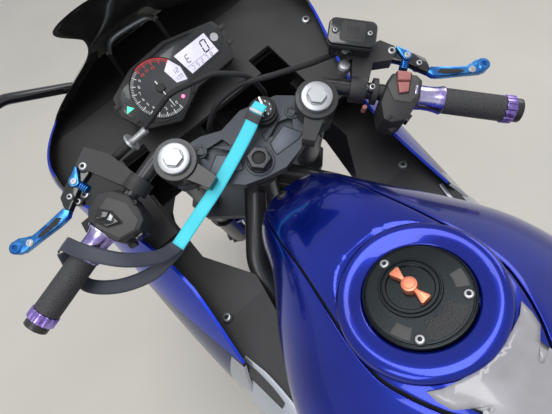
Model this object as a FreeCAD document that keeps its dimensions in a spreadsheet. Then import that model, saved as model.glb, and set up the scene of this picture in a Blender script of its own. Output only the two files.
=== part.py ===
import FreeCAD, Part
import math
import os
import PartDesign
import Sketcher
from FreeCAD import Placement, Rotation, Vector

# A 300-class sport bike with clip-on bars and a half-naked engine bay, parked on its side stand.
# The bike is drawn upright: X forward from the rear axle, Y to the rider's left, Z up from the floor.
# Whatever turns with the bars is drawn in the steering frame: u forward, v left, w up the steering axis.
# The last placement turns the bars, leans the bike on its stand and centres it on the floor.

doc = FreeCAD.newDocument("sport_bike")
sheet = doc.addObject("Spreadsheet::Sheet", "Sizes")

# columns: alias, value in millimetres or degrees, what it is
SIZES = [
    ("wheelbase", 1380, "axle to axle"),
    ("rake", 25, "steering axis from the vertical, degrees"),
    ("trail", 95, "front contact to steering axis on the floor"),
    ("steer_rest", -16.3, "bars turned to the right as parked, degrees"),
    ("lean", 11, "lean to the left on the side stand, degrees"),
    ("front_tyre_radius", 293, "110/70-17"),
    ("front_tyre_width", 110, "110/70-17"),
    ("rear_tyre_radius", 314, "140/70-17"),
    ("rear_tyre_width", 140, "140/70-17"),
    ("seat_radius", 216, "bead seat of both 17 inch rims"),
    ("flange_radius", 225, "rim flange outside"),
    ("flange_thickness", 5, "rim flange"),
    ("rim_well_radius", 192, "inside of the rim at its middle"),
    ("front_bead_half", 41, "half the front bead seat width"),
    ("rear_bead_half", 55, "half the rear bead seat width"),
    ("spoke_half_width", 8, "half the spoke's face at the hub"),
    ("spoke_depth", 24, "spoke along the axle"),
    ("spoke_count", 10, "spokes in each wheel"),
    ("axle_radius", 8.5, "both axles"),
    ("axle_clearance", 0.08, "hub bore over the axle"),
    ("front_hub_radius", 30, "front hub barrel"),
    ("rear_hub_radius", 36, "rear hub barrel"),
    ("front_disc_radius", 149, "298 mm disc"),
    ("rear_disc_radius", 110, "220 mm disc"),
    ("disc_thickness", 4.5, "both discs"),
    ("front_disc_offset", 62, "front disc middle from the wheel's middle"),
    ("rear_disc_offset", 87, "rear disc middle from the wheel's middle"),
    ("disc_band", 34, "braking band"),
    ("sprocket_offset", 90, "chain line from the middle"),
    ("sprocket_thickness", 6, "rear sprocket"),
    ("rear_teeth", 43, "rear sprocket"),
    ("front_teeth", 14, "front sprocket"),
    ("chain_pitch", 15.875, "520 chain"),
    ("chain_half_height", 7, "link plate, half"),
    ("clamp_height", 1021, "top clamp from the floor along the steering axis"),
    ("clamp_thickness", 22, "top clamp"),
    ("clamp_gap", 193, "between the two clamps"),
    ("lower_clamp_thickness", 30, "bottom clamp"),
    ("fork_half_spread", 100, "fork leg from the middle"),
    ("fork_tube_radius", 20.5, "41 mm fork tube"),
    ("slider_radius", 26, "fork lower leg"),
    ("slider_length", 340, "fork lower leg above the axle"),
    ("stem_radius", 13, "steering stem"),
    ("stem_clearance", 0.08, "stem in the head tube"),
    ("stem_bore_radius", 8, "hollow stem, open at its top for a stem mount"),
    ("stem_bore_depth", 60, "hollow part of the stem"),
    ("stem_top", 12, "stem over the clamp, inside its nut"),
    ("bobbin_hole_radius", 4, "M8 paddock stand bobbin hole in the swingarm"),
    ("head_tube_radius", 27, "head tube outside"),
    ("ring_radius", 28, "clip-on ring outside"),
    ("ring_height", 33, "clip-on ring"),
    ("cap_height", 5, "fork cap above the ring"),
    ("bar_radius", 11, "22 mm bar"),
    ("bar_sweep", 33, "bar swept back, degrees"),
    ("bar_height", 15, "bar over the clamp's top face"),
    ("grip_start_u", -8, "inner end of the grip"),
    ("grip_start_v", 222, "inner end of the grip"),
    ("grip_length", 131, "collar, rubber and end ring"),
    ("grip_radius", 16.5, "rubber outside"),
    ("collar_length", 38, "anodised collar"),
    ("end_ring_length", 13, "anodised end ring"),
    ("pod_length", 54, "switch pod along the bar"),
    ("pivot_height", 375, "swingarm pivot"),
    ("pivot_forward", 560, "swingarm pivot"),
    ("arm_inner", 104, "swingarm inside face from the middle"),
    ("arm_thickness", 28, "swingarm beam"),
    ("skin", 4, "fairing wall"),
    ("panel_gap", 0.3, "between neighbouring panels"),
    ("cap_radius", 48, "fuel filler ring"),
    ("bezel_radius", 72, "dished rim around the filler"),
    ("bezel_depth", 9, "dished rim"),
    ("cap_forward", 760, "fuel filler from the rear axle"),
    ("cap_up", 991, "fuel filler face"),
    ("cap_tilt", 8, "filler face leans forward, degrees"),
    ("dial_forward", 1225, "middle of the instrument face"),
    ("dial_up", 968, "middle of the instrument face"),
    ("dial_tilt", 45, "instrument face from the horizontal, degrees"),
    ("dial_depth", 32, "instrument housing"),
    ("strap_width", 18, "key strap"),
    ("strap_thickness", 1.6, "key strap"),
    ("stand_forward", 610, "side stand pivot"),
    ("stand_side", 100, "side stand pivot"),
    ("stand_up", 232, "side stand pivot"),
    ("stand_reach", 112, "foot outside the pivot as parked"),
]
for row, (alias, value, note) in enumerate(SIZES, start=1):
    sheet.set(f"A{row}", alias)
    sheet.set(f"B{row}", str(value))
    sheet.set(f"C{row}", note)
    sheet.setAlias(f"B{row}", alias)
doc.recompute()


def size(alias):
    return float(sheet.get(alias))


class Bound:
    """A length that remembers the sheet formula it came from."""

    def __init__(self, value, formula):
        self.value = float(value)
        self.formula = formula

    @staticmethod
    def of(length):
        return length if isinstance(length, Bound) else Bound(length, f"{float(length)}")

    def __add__(self, other):
        other = Bound.of(other)
        return Bound(self.value + other.value, f"({self.formula} + {other.formula})")

    def __sub__(self, other):
        other = Bound.of(other)
        return Bound(self.value - other.value, f"({self.formula} - {other.formula})")

    def __mul__(self, other):
        other = Bound.of(other)
        return Bound(self.value * other.value, f"({self.formula} * {other.formula})")

    def __neg__(self):
        return Bound(-self.value, f"(-1 * {self.formula})")


def cell(alias):
    return Bound(size(alias), f"Sizes.{alias}")


def origin_feature(body, role):
    return [item for item in body.Origin.OriginFeatures if item.Role == role][0]


def bound_outline(body, role, name, corners):
    """Closed sketch of straight sides on one of the body's planes, each corner held by sheet formulas."""
    sketch = body.newObject("Sketcher::SketchObject", name)
    sketch.AttachmentSupport = [(origin_feature(body, role), "")]
    sketch.MapMode = "FlatFace"
    corners = [(Bound.of(x), Bound.of(y)) for x, y in corners]
    points = [Vector(x.value, y.value, 0) for x, y in corners]
    count = len(points)
    sketch.addGeometry([Part.LineSegment(points[i], points[(i + 1) % count]) for i in range(count)], False)
    for i in range(count):
        sketch.addConstraint(Sketcher.Constraint("Coincident", i, 2, (i + 1) % count, 1))
    for i, corner in enumerate(corners):
        for kind, axis, length in (("DistanceX", -2, corner[0]), ("DistanceY", -1, corner[1])):
            if abs(length.value) < 1e-9:
                sketch.addConstraint(Sketcher.Constraint("PointOnObject", i, 1, axis))
                continue
            index = sketch.addConstraint(Sketcher.Constraint(kind, -1, 1, i, 1, length.value))
            sketch.setExpression(f"Constraints[{index}]", length.formula)
    return sketch


def revolved(body, name, corners):
    """Ring about the body's Y axis from corners of (radius, distance along the axis)."""
    profile = bound_outline(body, "XY_Plane", name + "_outline", corners)
    turn = body.newObject("PartDesign::Revolution", name)
    turn.Profile = profile
    turn.ReferenceAxis = (profile, ["V_Axis"])
    turn.Angle = 360
    body.Tip = turn
    doc.recompute()
    return turn


def patterned(body, feature, count):
    """Repeats a feature around the body's Y axis."""
    pattern = body.newObject("PartDesign::PolarPattern", feature.Name + "_ring")
    pattern.Originals = [feature]
    pattern.Axis = (origin_feature(body, "Y_Axis"), [""])
    pattern.Angle = 360
    pattern.Occurrences = int(count)
    body.Tip = pattern
    doc.recompute()
    return pattern


def new_body(label, place):
    body = doc.addObject("PartDesign::Body", label)
    body.Label = label
    body.Placement = place
    finished.append(body)
    return body


def shaped(label, shape, place):
    """A piece whose shape comes from Part's own functions."""
    item = doc.addObject("Part::Feature", label)
    item.Label = label
    item.Shape = shape
    item.Placement = place
    finished.append(item)
    return item


def primitive(kind, name, place=Placement(), **bound):
    """A Part primitive whose sizes follow sheet formulas."""
    item = doc.addObject("Part::" + kind, name)
    for prop, formula in bound.items():
        item.setExpression(prop, str(formula))
    item.Placement = place
    return item


def fused(name, items):
    item = doc.addObject("Part::MultiFuse", name)
    item.Shapes = items
    return item


def cut_from(name, base, tool):
    item = doc.addObject("Part::Cut", name)
    item.Base = base
    item.Tool = tool
    return item


def finish(item, label, place):
    """Marks a document object as a finished piece with its name and place."""
    item.Label = label
    item.Placement = place
    finished.append(item)
    return item


finished = []
ALONG_Y = Rotation(Vector(1, 0, 0), -90)


# Plain shapes in the upright bike's or the steering frame's coordinates

def rod(start, end, radius):
    start, end = Vector(*start), Vector(*end)
    return Part.makeCylinder(radius, (end - start).Length, start, end - start)


def rounded_path(points, radius):
    """Straight runs joined by arcs tangent to both; the arc shrinks where a run is short."""
    points = [Vector(*p) for p in points]
    edges = []
    start = points[0]
    for i in range(1, len(points) - 1):
        corner = points[i]
        back = (points[i - 1] - corner)
        ahead = (points[i + 1] - corner)
        shorter = min(back.Length, ahead.Length)
        back.normalize()
        ahead.normalize()
        half_turn = (math.pi - back.getAngle(ahead)) / 2
        cutback = min(radius * math.tan(half_turn), 0.45 * shorter)
        first, last = corner + back * cutback, corner + ahead * cutback
        bisector = (back + ahead)
        bisector.normalize()
        arc_radius = cutback / math.tan(half_turn)
        centre = corner + bisector * (arc_radius / math.cos(half_turn))
        middle = centre + (corner - centre).normalize() * arc_radius
        if (first - start).Length > 1e-6:
            edges.append(Part.LineSegment(start, first).toShape())
        edges.append(Part.Arc(first, middle, last).toShape())
        start = last
    edges.append(Part.LineSegment(start, points[-1]).toShape())
    return Part.Wire(edges)


def tube(points, radius, bend=60):
    """Round bar along a path of straight runs and tangent arcs."""
    if len(points) == 2:
        return rod(points[0], points[1], radius)
    path = rounded_path(points, bend)
    start, ahead = Vector(*points[0]), Vector(*points[1]) - Vector(*points[0])
    ring = Part.Wire([Part.Circle(start, ahead, radius).toShape()])
    return path.makePipeShell([ring], True, False)


def side_prism(outline, y_low, y_high):
    """Side-view outline of (x, z) corners, pushed across the bike from y_low to y_high."""
    points = [Vector(x, y_low, z) for x, z in outline]
    face = Part.Face(Part.makePolygon(points + points[:1]))
    return face.extrude(Vector(0, y_high - y_low, 0))


def top_prism(outline, z_low, z_high):
    """Outline of (x, y) or (u, v) corners, pushed up from z_low to z_high."""
    points = [Vector(x, y, z_low) for x, y in outline]
    face = Part.Face(Part.makePolygon(points + points[:1]))
    return face.extrude(Vector(0, 0, z_high - z_low))


def front_prism(points, back, front):
    """Outline in y and z, extruded forward from x=back to x=front."""
    corners = [Vector(back, y, z) for y, z in points]
    face = Part.Face(Part.makePolygon(corners + corners[:1]))
    return face.extrude(Vector(front - back, 0, 0))


def joined(shapes, clean=True):
    """One shape from many, with leftover seams cleaned away where that leaves it sound."""
    shapes = list(shapes)
    whole = shapes[0]
    for shape in shapes[1:]:
        whole = whole.fuse(shape)
    cleaned = whole.removeSplitter() if clean else whole
    return cleaned if cleaned.isValid() else whole


def mirrored(shape):
    return shape.mirror(Vector(0, 0, 0), Vector(0, 1, 0))


def pair(shape):
    return Part.makeCompound([shape, mirrored(shape)])


def softened(shape, radius, edges=None):
    """Rounds the given edges, or all of them."""
    return shape.makeFillet(radius, edges or shape.Edges)


# Steering and stance: where everything ends up

rake = math.radians(size("rake"))
steering_foot = Vector(size("wheelbase") + size("trail"), 0, 0)
axis_up = Vector(-math.sin(rake), 0, math.cos(rake))
axis_forward = Vector(math.cos(rake), 0, math.sin(rake))
front_axle = Vector(size("wheelbase"), 0, size("front_tyre_radius"))
rear_axle = Vector(0, 0, size("rear_tyre_radius"))
axle_offset = (front_axle - steering_foot).dot(axis_forward)
axle_drop = (front_axle - steering_foot).dot(axis_up) - size("clamp_height")
CLAMP_FRAME = Placement(
    steering_foot + axis_up * size("clamp_height"), Rotation(Vector(0, 1, 0), -size("rake"))
)
STEER_TURN = Placement(Vector(), Rotation(Vector(0, 0, 1), size("steer_rest")))
STEERED = CLAMP_FRAME * STEER_TURN


def lowest_point(place, centre, spin, radius, width):
    """Height of the lowest point of a round-crowned tyre."""
    centre = place.multVec(centre)
    spin = place.Rotation.multVec(spin)
    crown = width / 2
    return centre.z - (radius - crown) * math.sqrt(1 - spin.z**2) - crown


def stance():
    """Leans the bike and sets both tyres on the floor."""
    hub_in_bars = Vector(axle_offset, 0, axle_drop)
    front_hub = STEERED.multVec(hub_in_bars)
    front_spin = STEERED.Rotation.multVec(Vector(0, 1, 0))
    place = Placement(Vector(), Rotation(Vector(1, 0, 0), -size("lean")))
    for _ in range(4):
        front = lowest_point(place, front_hub, front_spin, size("front_tyre_radius"),
            size("front_tyre_width"))
        rear = lowest_point(place, rear_axle, Vector(0, 1, 0), size("rear_tyre_radius"),
            size("rear_tyre_width"))
        pitch = math.degrees(math.atan2(front - rear, size("wheelbase")))
        place = Placement(Vector(0, 0, -rear), Rotation(Vector(0, 1, 0), pitch)) * place
    return place


LEANED = stance()
# half of the box's length, and the middle of its width, as the finished bike measures
CENTRING = Placement(Vector(-619.15, -184.3, 0), Rotation())
BIKE = CENTRING * LEANED
BARS = BIKE * STEERED
FRONT_WHEEL = BARS * Placement(Vector(axle_offset, 0, axle_drop), Rotation())
REAR_WHEEL = BIKE * Placement(rear_axle, Rotation())


# Wheels, both turned about their own Y axis

def cast_wheel(label, place, hub_radius, hub_left, hub_right, bead_half, flange_left=None):
    body = new_body(label, place)
    bore = cell("axle_radius") + cell("axle_clearance")
    revolved(body, label + "_hub", [
        (bore, -Bound.of(hub_right)), (hub_radius, -Bound.of(hub_right)), (hub_radius, hub_left),
        (bore, hub_left),
    ])
    outline = bound_outline(body, "XZ_Plane", label + "_spoke_outline", [
        (hub_radius - 6, -(cell("spoke_half_width") + 3)), (cell("rim_well_radius") + 8,
        -(cell("spoke_half_width") - 1)),
        (cell("rim_well_radius") + 8, cell("spoke_half_width") - 1),
        (hub_radius - 6, cell("spoke_half_width") + 3),
    ])
    spoke = body.newObject("PartDesign::Pad", label + "_spoke")
    spoke.Profile = outline
    spoke.setExpression("Length", "Sizes.spoke_depth")
    spoke.Midplane = True
    body.Tip = spoke
    doc.recompute()
    patterned(body, spoke, size("spoke_count"))
    seat, flange = cell("seat_radius"), cell("flange_radius")
    outer_half = bead_half + cell("flange_thickness")
    well = cell("rim_well_radius")
    revolved(body, label + "_rim", [
        (flange, -outer_half), (flange, -bead_half), (seat, -bead_half), (seat, bead_half),
        (flange, bead_half), (flange, outer_half), (seat - 8, outer_half), (well, 16),
        (well, -16), (seat - 8, -outer_half),
    ])
    if flange_left:
        radius, start = flange_left
        revolved(body, label + "_carrier", [
            (hub_radius - 4, start), (radius, start), (radius, hub_left), (hub_radius - 4, hub_left),
        ])
    return body


cast_wheel(
    "front_wheel", FRONT_WHEEL, cell("front_hub_radius"), 58,
    cell("front_disc_offset") - cell("disc_thickness") * 0.5, cell("front_bead_half"),
)
cast_wheel(
    "rear_wheel", REAR_WHEEL, cell("rear_hub_radius"),
    cell("sprocket_offset") - cell("sprocket_thickness") * 0.5,
    cell("rear_disc_offset") - cell("disc_thickness") * 0.5, cell("rear_bead_half"), (66, 60),
)


def tyre(end, place):
    ring = primitive(
        "Torus", end + "_tyre_ring",
        Radius1=f"Sizes.{end}_tyre_radius - Sizes.{end}_tyre_width / 2",
        Radius2=f"Sizes.{end}_tyre_width / 2",
    )
    seat = primitive("Cylinder", end + "_bead_seat", Radius="Sizes.seat_radius", Height=400)
    seat.Placement = Placement(Vector(0, 0, -200), Rotation())
    left = primitive("Cylinder", end + "_flange_left", Radius="Sizes.flange_radius + 0.5", Height=100)
    left.setExpression("Placement.Base.z", f"Sizes.{end}_bead_half")
    right = primitive("Cylinder", end + "_flange_right", Radius="Sizes.flange_radius + 0.5", Height=100)
    right.setExpression("Placement.Base.z", f"-Sizes.{end}_bead_half - 100")
    room = fused(end + "_rim_room", [seat, left, right])
    carcass = cut_from(end + "_tyre", ring, room)
    return finish(carcass, end + "_tyre", place * Placement(Vector(), ALONG_Y))


tyre("front", FRONT_WHEEL)
tyre("rear", REAR_WHEEL)


def brake_disc(end, place, bore, ring):
    body = new_body(end + "_disc", place * Placement(Vector(0, -size(end + "_disc_offset"), 0), Rotation()))
    half = cell("disc_thickness") * 0.5
    radius, band = cell(end + "_disc_radius"), cell("disc_band")
    revolved(body, end + "_disc_middle", [(bore, -half), (ring, -half), (ring, half), (bore, half)])
    outline = bound_outline(body, "XZ_Plane", end + "_disc_arm_outline", [
        (ring - 4, -9), (radius - band + 4, -7), (radius - band + 4, 7), (ring - 4, 9),
    ])
    arm = body.newObject("PartDesign::Pad", end + "_disc_arm")
    arm.Profile = outline
    arm.setExpression("Length", "Sizes.disc_thickness")
    arm.Midplane = True
    body.Tip = arm
    doc.recompute()
    patterned(body, arm, 6)
    revolved(body, end + "_disc_band", [
        (radius - band, -half), (radius, -half), (radius, half), (radius - band, half),
    ])
    return body


brake_disc("front", FRONT_WHEEL, Bound.of(21), Bound.of(46))
brake_disc("rear", REAR_WHEEL, Bound.of(21), Bound.of(46))


def toothed(tip_radius, teeth, low, high):
    """Sprocket outline with plain sloping teeth, in the XZ plane, from y=low to y=high."""
    points = []
    for i in range(teeth):
        root, flank = tip_radius - 6.5, tip_radius - 5.5
        for share, radius in ((0.0, root), (0.2, flank), (0.42, tip_radius), (0.58, tip_radius),
            (0.8, flank)):
            angle = 2 * math.pi * (i + share) / teeth
            points.append((radius * math.cos(angle), radius * math.sin(angle)))
    return side_prism(points, low, high)


chain_line = size("sprocket_offset")
half_sprocket = size("sprocket_thickness") / 2
rear_pitch = size("chain_pitch") / (2 * math.sin(math.pi / size("rear_teeth")))
front_pitch = size("chain_pitch") / (2 * math.sin(math.pi / size("front_teeth")))
output_shaft = Vector(640, 0, 372)


def across(radius, low, high, x=0.0, z=0.0):
    """Disc or bar across the bike, from y=low to y=high."""
    return Part.makeCylinder(radius, high - low, Vector(x, low, z), Vector(0, 1, 0))


sprocket = toothed(rear_pitch - 7.2, int(size("rear_teeth")), chain_line - half_sprocket,
    chain_line + half_sprocket)
sprocket = sprocket.cut(across(44, 80, 100))
windows = []
for i in range(5):
    angle = 2 * math.pi * (i + 0.5) / 5
    windows.append(across(10, 80, 100, 79 * math.cos(angle), 79 * math.sin(angle)))
sprocket = sprocket.cut(windows)
shaped("rear_sprocket", sprocket, REAR_WHEEL)


def chain_loop(front_radius, rear_radius, low, high):
    """Solid inside a belt line around both sprockets."""
    rear, front = Vector(0, 0, rear_axle.z), Vector(output_shaft.x, 0, output_shaft.z)
    span = front - rear
    tilt = math.atan2(span.z, span.x)
    spread = math.acos((rear_radius - front_radius) / span.Length)

    def on(centre, radius, angle):
        return Vector(centre.x + radius * math.cos(angle), low, centre.z + radius * math.sin(angle))

    top, bottom = tilt + spread, tilt - spread
    wire = Part.Wire([
        Part.LineSegment(on(rear, rear_radius, top), on(front, front_radius, top)).toShape(),
        Part.Arc(on(front, front_radius, top), on(front, front_radius, tilt),
        on(front, front_radius, bottom)).toShape(),
        Part.LineSegment(on(front, front_radius, bottom), on(rear, rear_radius, bottom)).toShape(),
        Part.Arc(on(rear, rear_radius, bottom), on(rear, rear_radius, tilt + math.pi),
        on(rear, rear_radius, top)).toShape(),
    ])
    return Part.Face(wire).extrude(Vector(0, high - low, 0))


def chain_band(half_height, low, high):
    return chain_loop(front_pitch + half_height, rear_pitch + half_height, low, high).cut(
        chain_loop(front_pitch - half_height, rear_pitch - half_height, low, high))


half_plate = size("chain_half_height")
chain = joined([
    chain_band(5, chain_line - 4.2, chain_line + 4.2),
    chain_band(half_plate, chain_line + 4.2, chain_line + 6.7),
    chain_band(half_plate, chain_line - 6.7, chain_line - 4.2),
])
shaped("drive_chain", chain, BIKE)

# Fork, clamps and stem, in the steering frame

fork_forward = axle_offset
spread = size("fork_half_spread")
tube_radius = size("fork_tube_radius")
clamp_low = -size("clamp_thickness")
lower_top = clamp_low - size("clamp_gap")
lower_low = lower_top - size("lower_clamp_thickness")
slider_top = axle_drop + size("slider_length")


def upright(radius, low, high, u=0.0, v=0.0):
    """Round bar along the steering axis, from w=low to w=high."""
    return Part.makeCylinder(radius, high - low, Vector(u, v, low), Vector(0, 0, 1))


def fork_tube(side, name):
    tube_length = size("ring_height") + size("cap_height") - slider_top
    leg = primitive("Cylinder", name + "_leg", Radius="Sizes.fork_tube_radius", Height=tube_length)
    leg.Placement = Placement(Vector(fork_forward, side * spread, slider_top), Rotation())
    hexagon = primitive("Prism", name + "_hexagon", Circumradius="Sizes.fork_tube_radius * 0.6", Height=6)
    hexagon.Polygon = 6
    hexagon.Placement = Placement(Vector(fork_forward, side * spread,
        size("ring_height") + size("cap_height")), Rotation())
    return fused(name, [leg, hexagon])


fork_tubes = doc.addObject("Part::Compound", "fork_tubes")
fork_tubes.Links = [fork_tube(1, "left_tube"), fork_tube(-1, "right_tube")]
doc.recompute()
finish(fork_tubes, "fork_tubes", BARS)


def slider(side):
    leg = upright(size("slider_radius"), axle_drop - 24, slider_top, fork_forward, side * spread)
    collar = upright(size("slider_radius") + 3, slider_top - 26, slider_top, fork_forward, side * spread)
    knuckle = across(24, side * spread - 24, side * spread + 24, fork_forward, axle_drop)
    return [leg, collar, knuckle]


inner_left = spread - size("slider_radius")
right_face = size("front_disc_offset") - size("disc_thickness") / 2
sliders = joined(
    slider(1) + slider(-1) + [
        across(size("axle_radius"), -spread - 34, spread + 34, fork_forward, axle_drop),
        across(15, 58.6, inner_left + 6, fork_forward, axle_drop),
        across(15, -inner_left - 6, -right_face - 0.6, fork_forward, axle_drop),
        across(13, spread + 24, spread + 34, fork_forward, axle_drop),
        across(13, -spread - 34, -spread - 24, fork_forward, axle_drop),
    ]
)
shaped("fork_sliders", sliders, BARS)

legs = [upright(tube_radius, -500, 60, fork_forward, spread),
    upright(tube_radius, -500, 60, fork_forward, -spread)]

clamp_outline = [(60, 96), (66, 60), (62, 30), (78, -4), (78, -58), (62, -92), (40, -132), (10, -112),
    (4, -78),
                 (-22, -30), (-24, 0), (-22, 30), (4, 78), (10, 112), (40, 132)]
top_plate = top_prism(clamp_outline, clamp_low, 0)
top_plate = top_plate.cut(legs + [
    upright(size("stem_radius"), -60, 60),
    top_prism([(28, 22), (50, 34), (44, 72), (22, 60)], -8, 10),
    top_prism([(26, -22), (42, -34), (40, -66), (20, -60)], -8, 10),
])
stem_nut = upright(19, 0, 20).cut(upright(size("stem_radius"), -5, 13)).cut(upright(9, 13, 30))
top_bolts = [upright(5, -4, 4, 44, 67), upright(5, -4, 4, 44, -67)]
ignition = upright(20, 0, 12, 60, -32).cut(upright(15.5, 6, 20, 60, -32))
shaped("top_clamp", Part.makeCompound([top_plate.cut(top_bolts)] + top_bolts), BARS)
shaped("stem_nut", stem_nut, BARS)
ignition_barrel = upright(15.2, 6, 14, 60, -32)
key = Part.makeBox(22, 2.4, 18, Vector(49, -33.2, 14)).fuse(Part.makeBox(9, 2.4, 6,
    Vector(55.5, -33.2, 14))).removeSplitter()
shaped("ignition_switch", ignition, BARS)
shaped("ignition_key", joined([ignition_barrel, key]), BARS)

lower_plate = top_prism(
    [(70, 118), (62, 60), (50, 0), (62, -60), (70, -118), (38, -134), (8, -118), (-26, -34), (-26, 34),
    (8, 118), (38, 134)],
    lower_low, lower_top,
).cut(legs)
stem = upright(size("stem_radius"), lower_low, size("stem_top")).fuse(upright(17, lower_top, lower_top + 6))
stem_mouth = upright(size("stem_bore_radius"), size("stem_top") - size("stem_bore_depth"),
    size("stem_top") + 1)
shaped("lower_clamp", joined([lower_plate, stem]).cut(stem_mouth), BARS)

# Bars, grips, switches and levers: s runs along the bar from the inner end of the grip

sweep = math.radians(size("bar_sweep"))
along = Vector(-math.sin(sweep), math.cos(sweep), 0)
ahead = Vector(math.cos(sweep), math.sin(sweep), 0)
grip_start = Vector(size("grip_start_u"), size("grip_start_v"), size("bar_height"))
bar_length = size("grip_length")


def bar_point(s, out=0.0, up=0.0):
    return grip_start + along * s + ahead * out + Vector(0, 0, up)


def on_bar(radius, start, end):
    return rod(bar_point(start), bar_point(end), radius)


def bar_block(start, end, back, front, low, high):
    """Block along the bar: back and front across it, low and high about its middle."""
    corners = [bar_point(start, back, low), bar_point(end, back, low), bar_point(end, front, low),
        bar_point(start, front, low)]
    return Part.Face(Part.makePolygon(corners + corners[:1])).extrude(Vector(0, 0, high - low))


bar_bore = on_bar(size("bar_radius"), -140, bar_length + 30)
clip_ring = upright(size("ring_radius"), 0, size("ring_height"), fork_forward, spread)
pinch = top_prism([(30, 80), (-4, 60), (-14, 74), (20, 108)], 4, 29)
left_bar = joined([clip_ring, pinch, on_bar(size("bar_radius"), -122, bar_length + 2),
    on_bar(15.5, bar_length, bar_length + 9)])
left_bar = left_bar.cut(upright(tube_radius, -5, 60, fork_forward, spread))
shaped("handlebars", pair(left_bar), BARS)

rubber = on_bar(size("grip_radius"), size("collar_length"),
    bar_length - size("end_ring_length")).cut(bar_bore)
shaped("grip_rubbers", pair(rubber), BARS)
inner_collar = on_bar(18, 0, size("collar_length")).cut(bar_bore)
end_ring = on_bar(18, bar_length - size("end_ring_length"), bar_length).cut(bar_bore)
shaped("grip_collars",
    Part.makeCompound([inner_collar, end_ring, mirrored(inner_collar), mirrored(end_ring)]), BARS)

pod = bar_block(-4 - size("pod_length"), -4, -32, 30, -24, 26)
pod = softened(pod, 7).cut(bar_bore)
shaped("switch_pods", pair(pod), BARS)

perch_ring = on_bar(18, -85, -64)
left_arm = Part.Face(Part.makePolygon([
    bar_point(-85, 8, -8), bar_point(-64, 8, -8), bar_point(-52, 78, -8), bar_point(-78, 84, -8),
    bar_point(-88, 50, -8), bar_point(-85, 8, -8),
])).extrude(Vector(0, 0, 22))
left_perch = joined([perch_ring, left_arm]).cut(bar_bore)
right_arm = Part.Face(Part.makePolygon([
    bar_point(-85, 8, -8), bar_point(-62, 8, -8), bar_point(-60, 34, -8), bar_point(-34, 42, -8),
    bar_point(-34, 62, -8), bar_point(-54, 68, -8), bar_point(-88, 44, -8), bar_point(-85, 8, -8),
])).extrude(Vector(0, 0, 22))
master = Part.makeBox(46, 30, 28, Vector(70, -192, 2))
right_perch = joined([mirrored(perch_ring), mirrored(right_arm), master]).cut(mirrored(bar_bore))
shaped("lever_perches", Part.makeCompound([left_perch, right_perch]), BARS)


def blade(points, low, high):
    """Lever cut from flat bar: a strip of changing half width along points of (u, v, half width)."""
    left, right = [], []
    for i, (u, v, half) in enumerate(points):
        before, after = points[max(i - 1, 0)], points[min(i + 1, len(points) - 1)]
        run = Vector(after[0] - before[0], after[1] - before[1], 0)
        run.normalize()
        left.append((u - run.y * half, v + run.x * half))
        right.append((u + run.y * half, v - run.x * half))
    return top_prism(left + right[::-1], low, high)


perch_low = size("bar_height") - 8
left_lever = blade([(84, 211, 9), (67, 229, 10), (39, 254, 6), (19, 283, 6), (14, 318, 6), (17, 338, 7)],
    perch_low + 22.4, perch_low + 33)
right_lever = blade([(61, -214, 9), (46, -238, 10), (27, -246, 6), (8, -268, 6), (-6, -310, 6),
    (-6, -328, 7)], perch_low + 22.4, perch_low + 33)
shaped("hand_levers", Part.makeCompound([left_lever, right_lever]), BARS)

reservoir = softened(Part.makeBox(36, 60, 26, Vector(75, -207, 0)), 6)
reservoir.Placement = Placement(Vector(93, -177, 0), Rotation(Vector(0, 0, 1),
    -size("bar_sweep"))) * Placement(Vector(-93, 177, 31), Rotation())
neck = Part.makeCylinder(9, 1.2, Vector(93, -177, 30), Vector(0, 0, 1))
shaped("brake_reservoir", joined([reservoir.copy(), neck]), BARS)

# Cables on the bars, each a tube of straight runs and tangent arcs.
# The key's strap is looped over the left grip.

clutch_cable = tube([(80, 172, 16), (93, 127, 26), (113, 72, 52), (112, 12, 60), (100, -30, 44),
    (94, -48, -10), (88, -50, -90)], 3.6, 40)
barrel = rod((79, 174, 16), (88, 144, 22), 6)
brake_hose = tube([(92, -160, 16), (88, -118, 26), (90, -62, 34), (96, -16, 36), (90, 22, 26),
    (80, 44, -14), (76, 48, -80)], 4, 40)
clutch_line = joined([clutch_cable, barrel]).cut([left_perch])
shaped("control_cables", Part.makeCompound([
    max(clutch_line.Solids, key=lambda s: s.Volume), brake_hose.cut([right_perch])]), BARS)


def ribbon(points, width, thickness):
    """Flat strap along points, each run a thin box whose face looks up."""
    runs = []
    for start, end in zip(points, points[1:]):
        start, end = Vector(*start), Vector(*end)
        run = end - start
        side = run.cross(Vector(0, 0, 1)).normalize()
        up = side.cross(run).normalize()
        corner = start - side * (width / 2) - up * (thickness / 2)
        outline = [corner, corner + side * width, corner + side * width + up * thickness,
            corner + up * thickness]
        runs.append(Part.Face(Part.makePolygon(outline + outline[:1])).extrude(run))
    return runs


strap_width, strap_thickness = size("strap_width"), size("strap_thickness")
key_leg = ribbon([(61, -33.4, 36), (37, -2, 26), (-15, 70, 10), (-62, 143, 6)], strap_width, strap_thickness)
upper_leg = ribbon([(-60, 140, 6), (-66, 168, 18), (-52, 208, 34), (-24, 247, 35), (-9, 266, 22)],
    strap_width, strap_thickness)
lower_leg = ribbon([(-62, 141, 4), (-79, 187, -2), (-75, 238, -12), (-54, 280, -14), (-22, 280, -4),
    (-9, 266, 21)], strap_width, strap_thickness)
lanyard = joined(key_leg + upper_leg + lower_leg)
shaped("key_lanyard", lanyard.cut([key, rubber, inner_collar, pod, left_bar]), BARS)

# Lofted skins and solids in the bike's frame

def curve(points):
    line = Part.BSplineCurve()
    line.interpolate([Vector(*p) for p in points])
    return line.toShape()


def closed_wire(points):
    """A curve through the points, closed by one straight side."""
    return Part.Wire([curve(points), Part.LineSegment(Vector(*points[-1]), Vector(*points[0])).toShape()])


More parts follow.
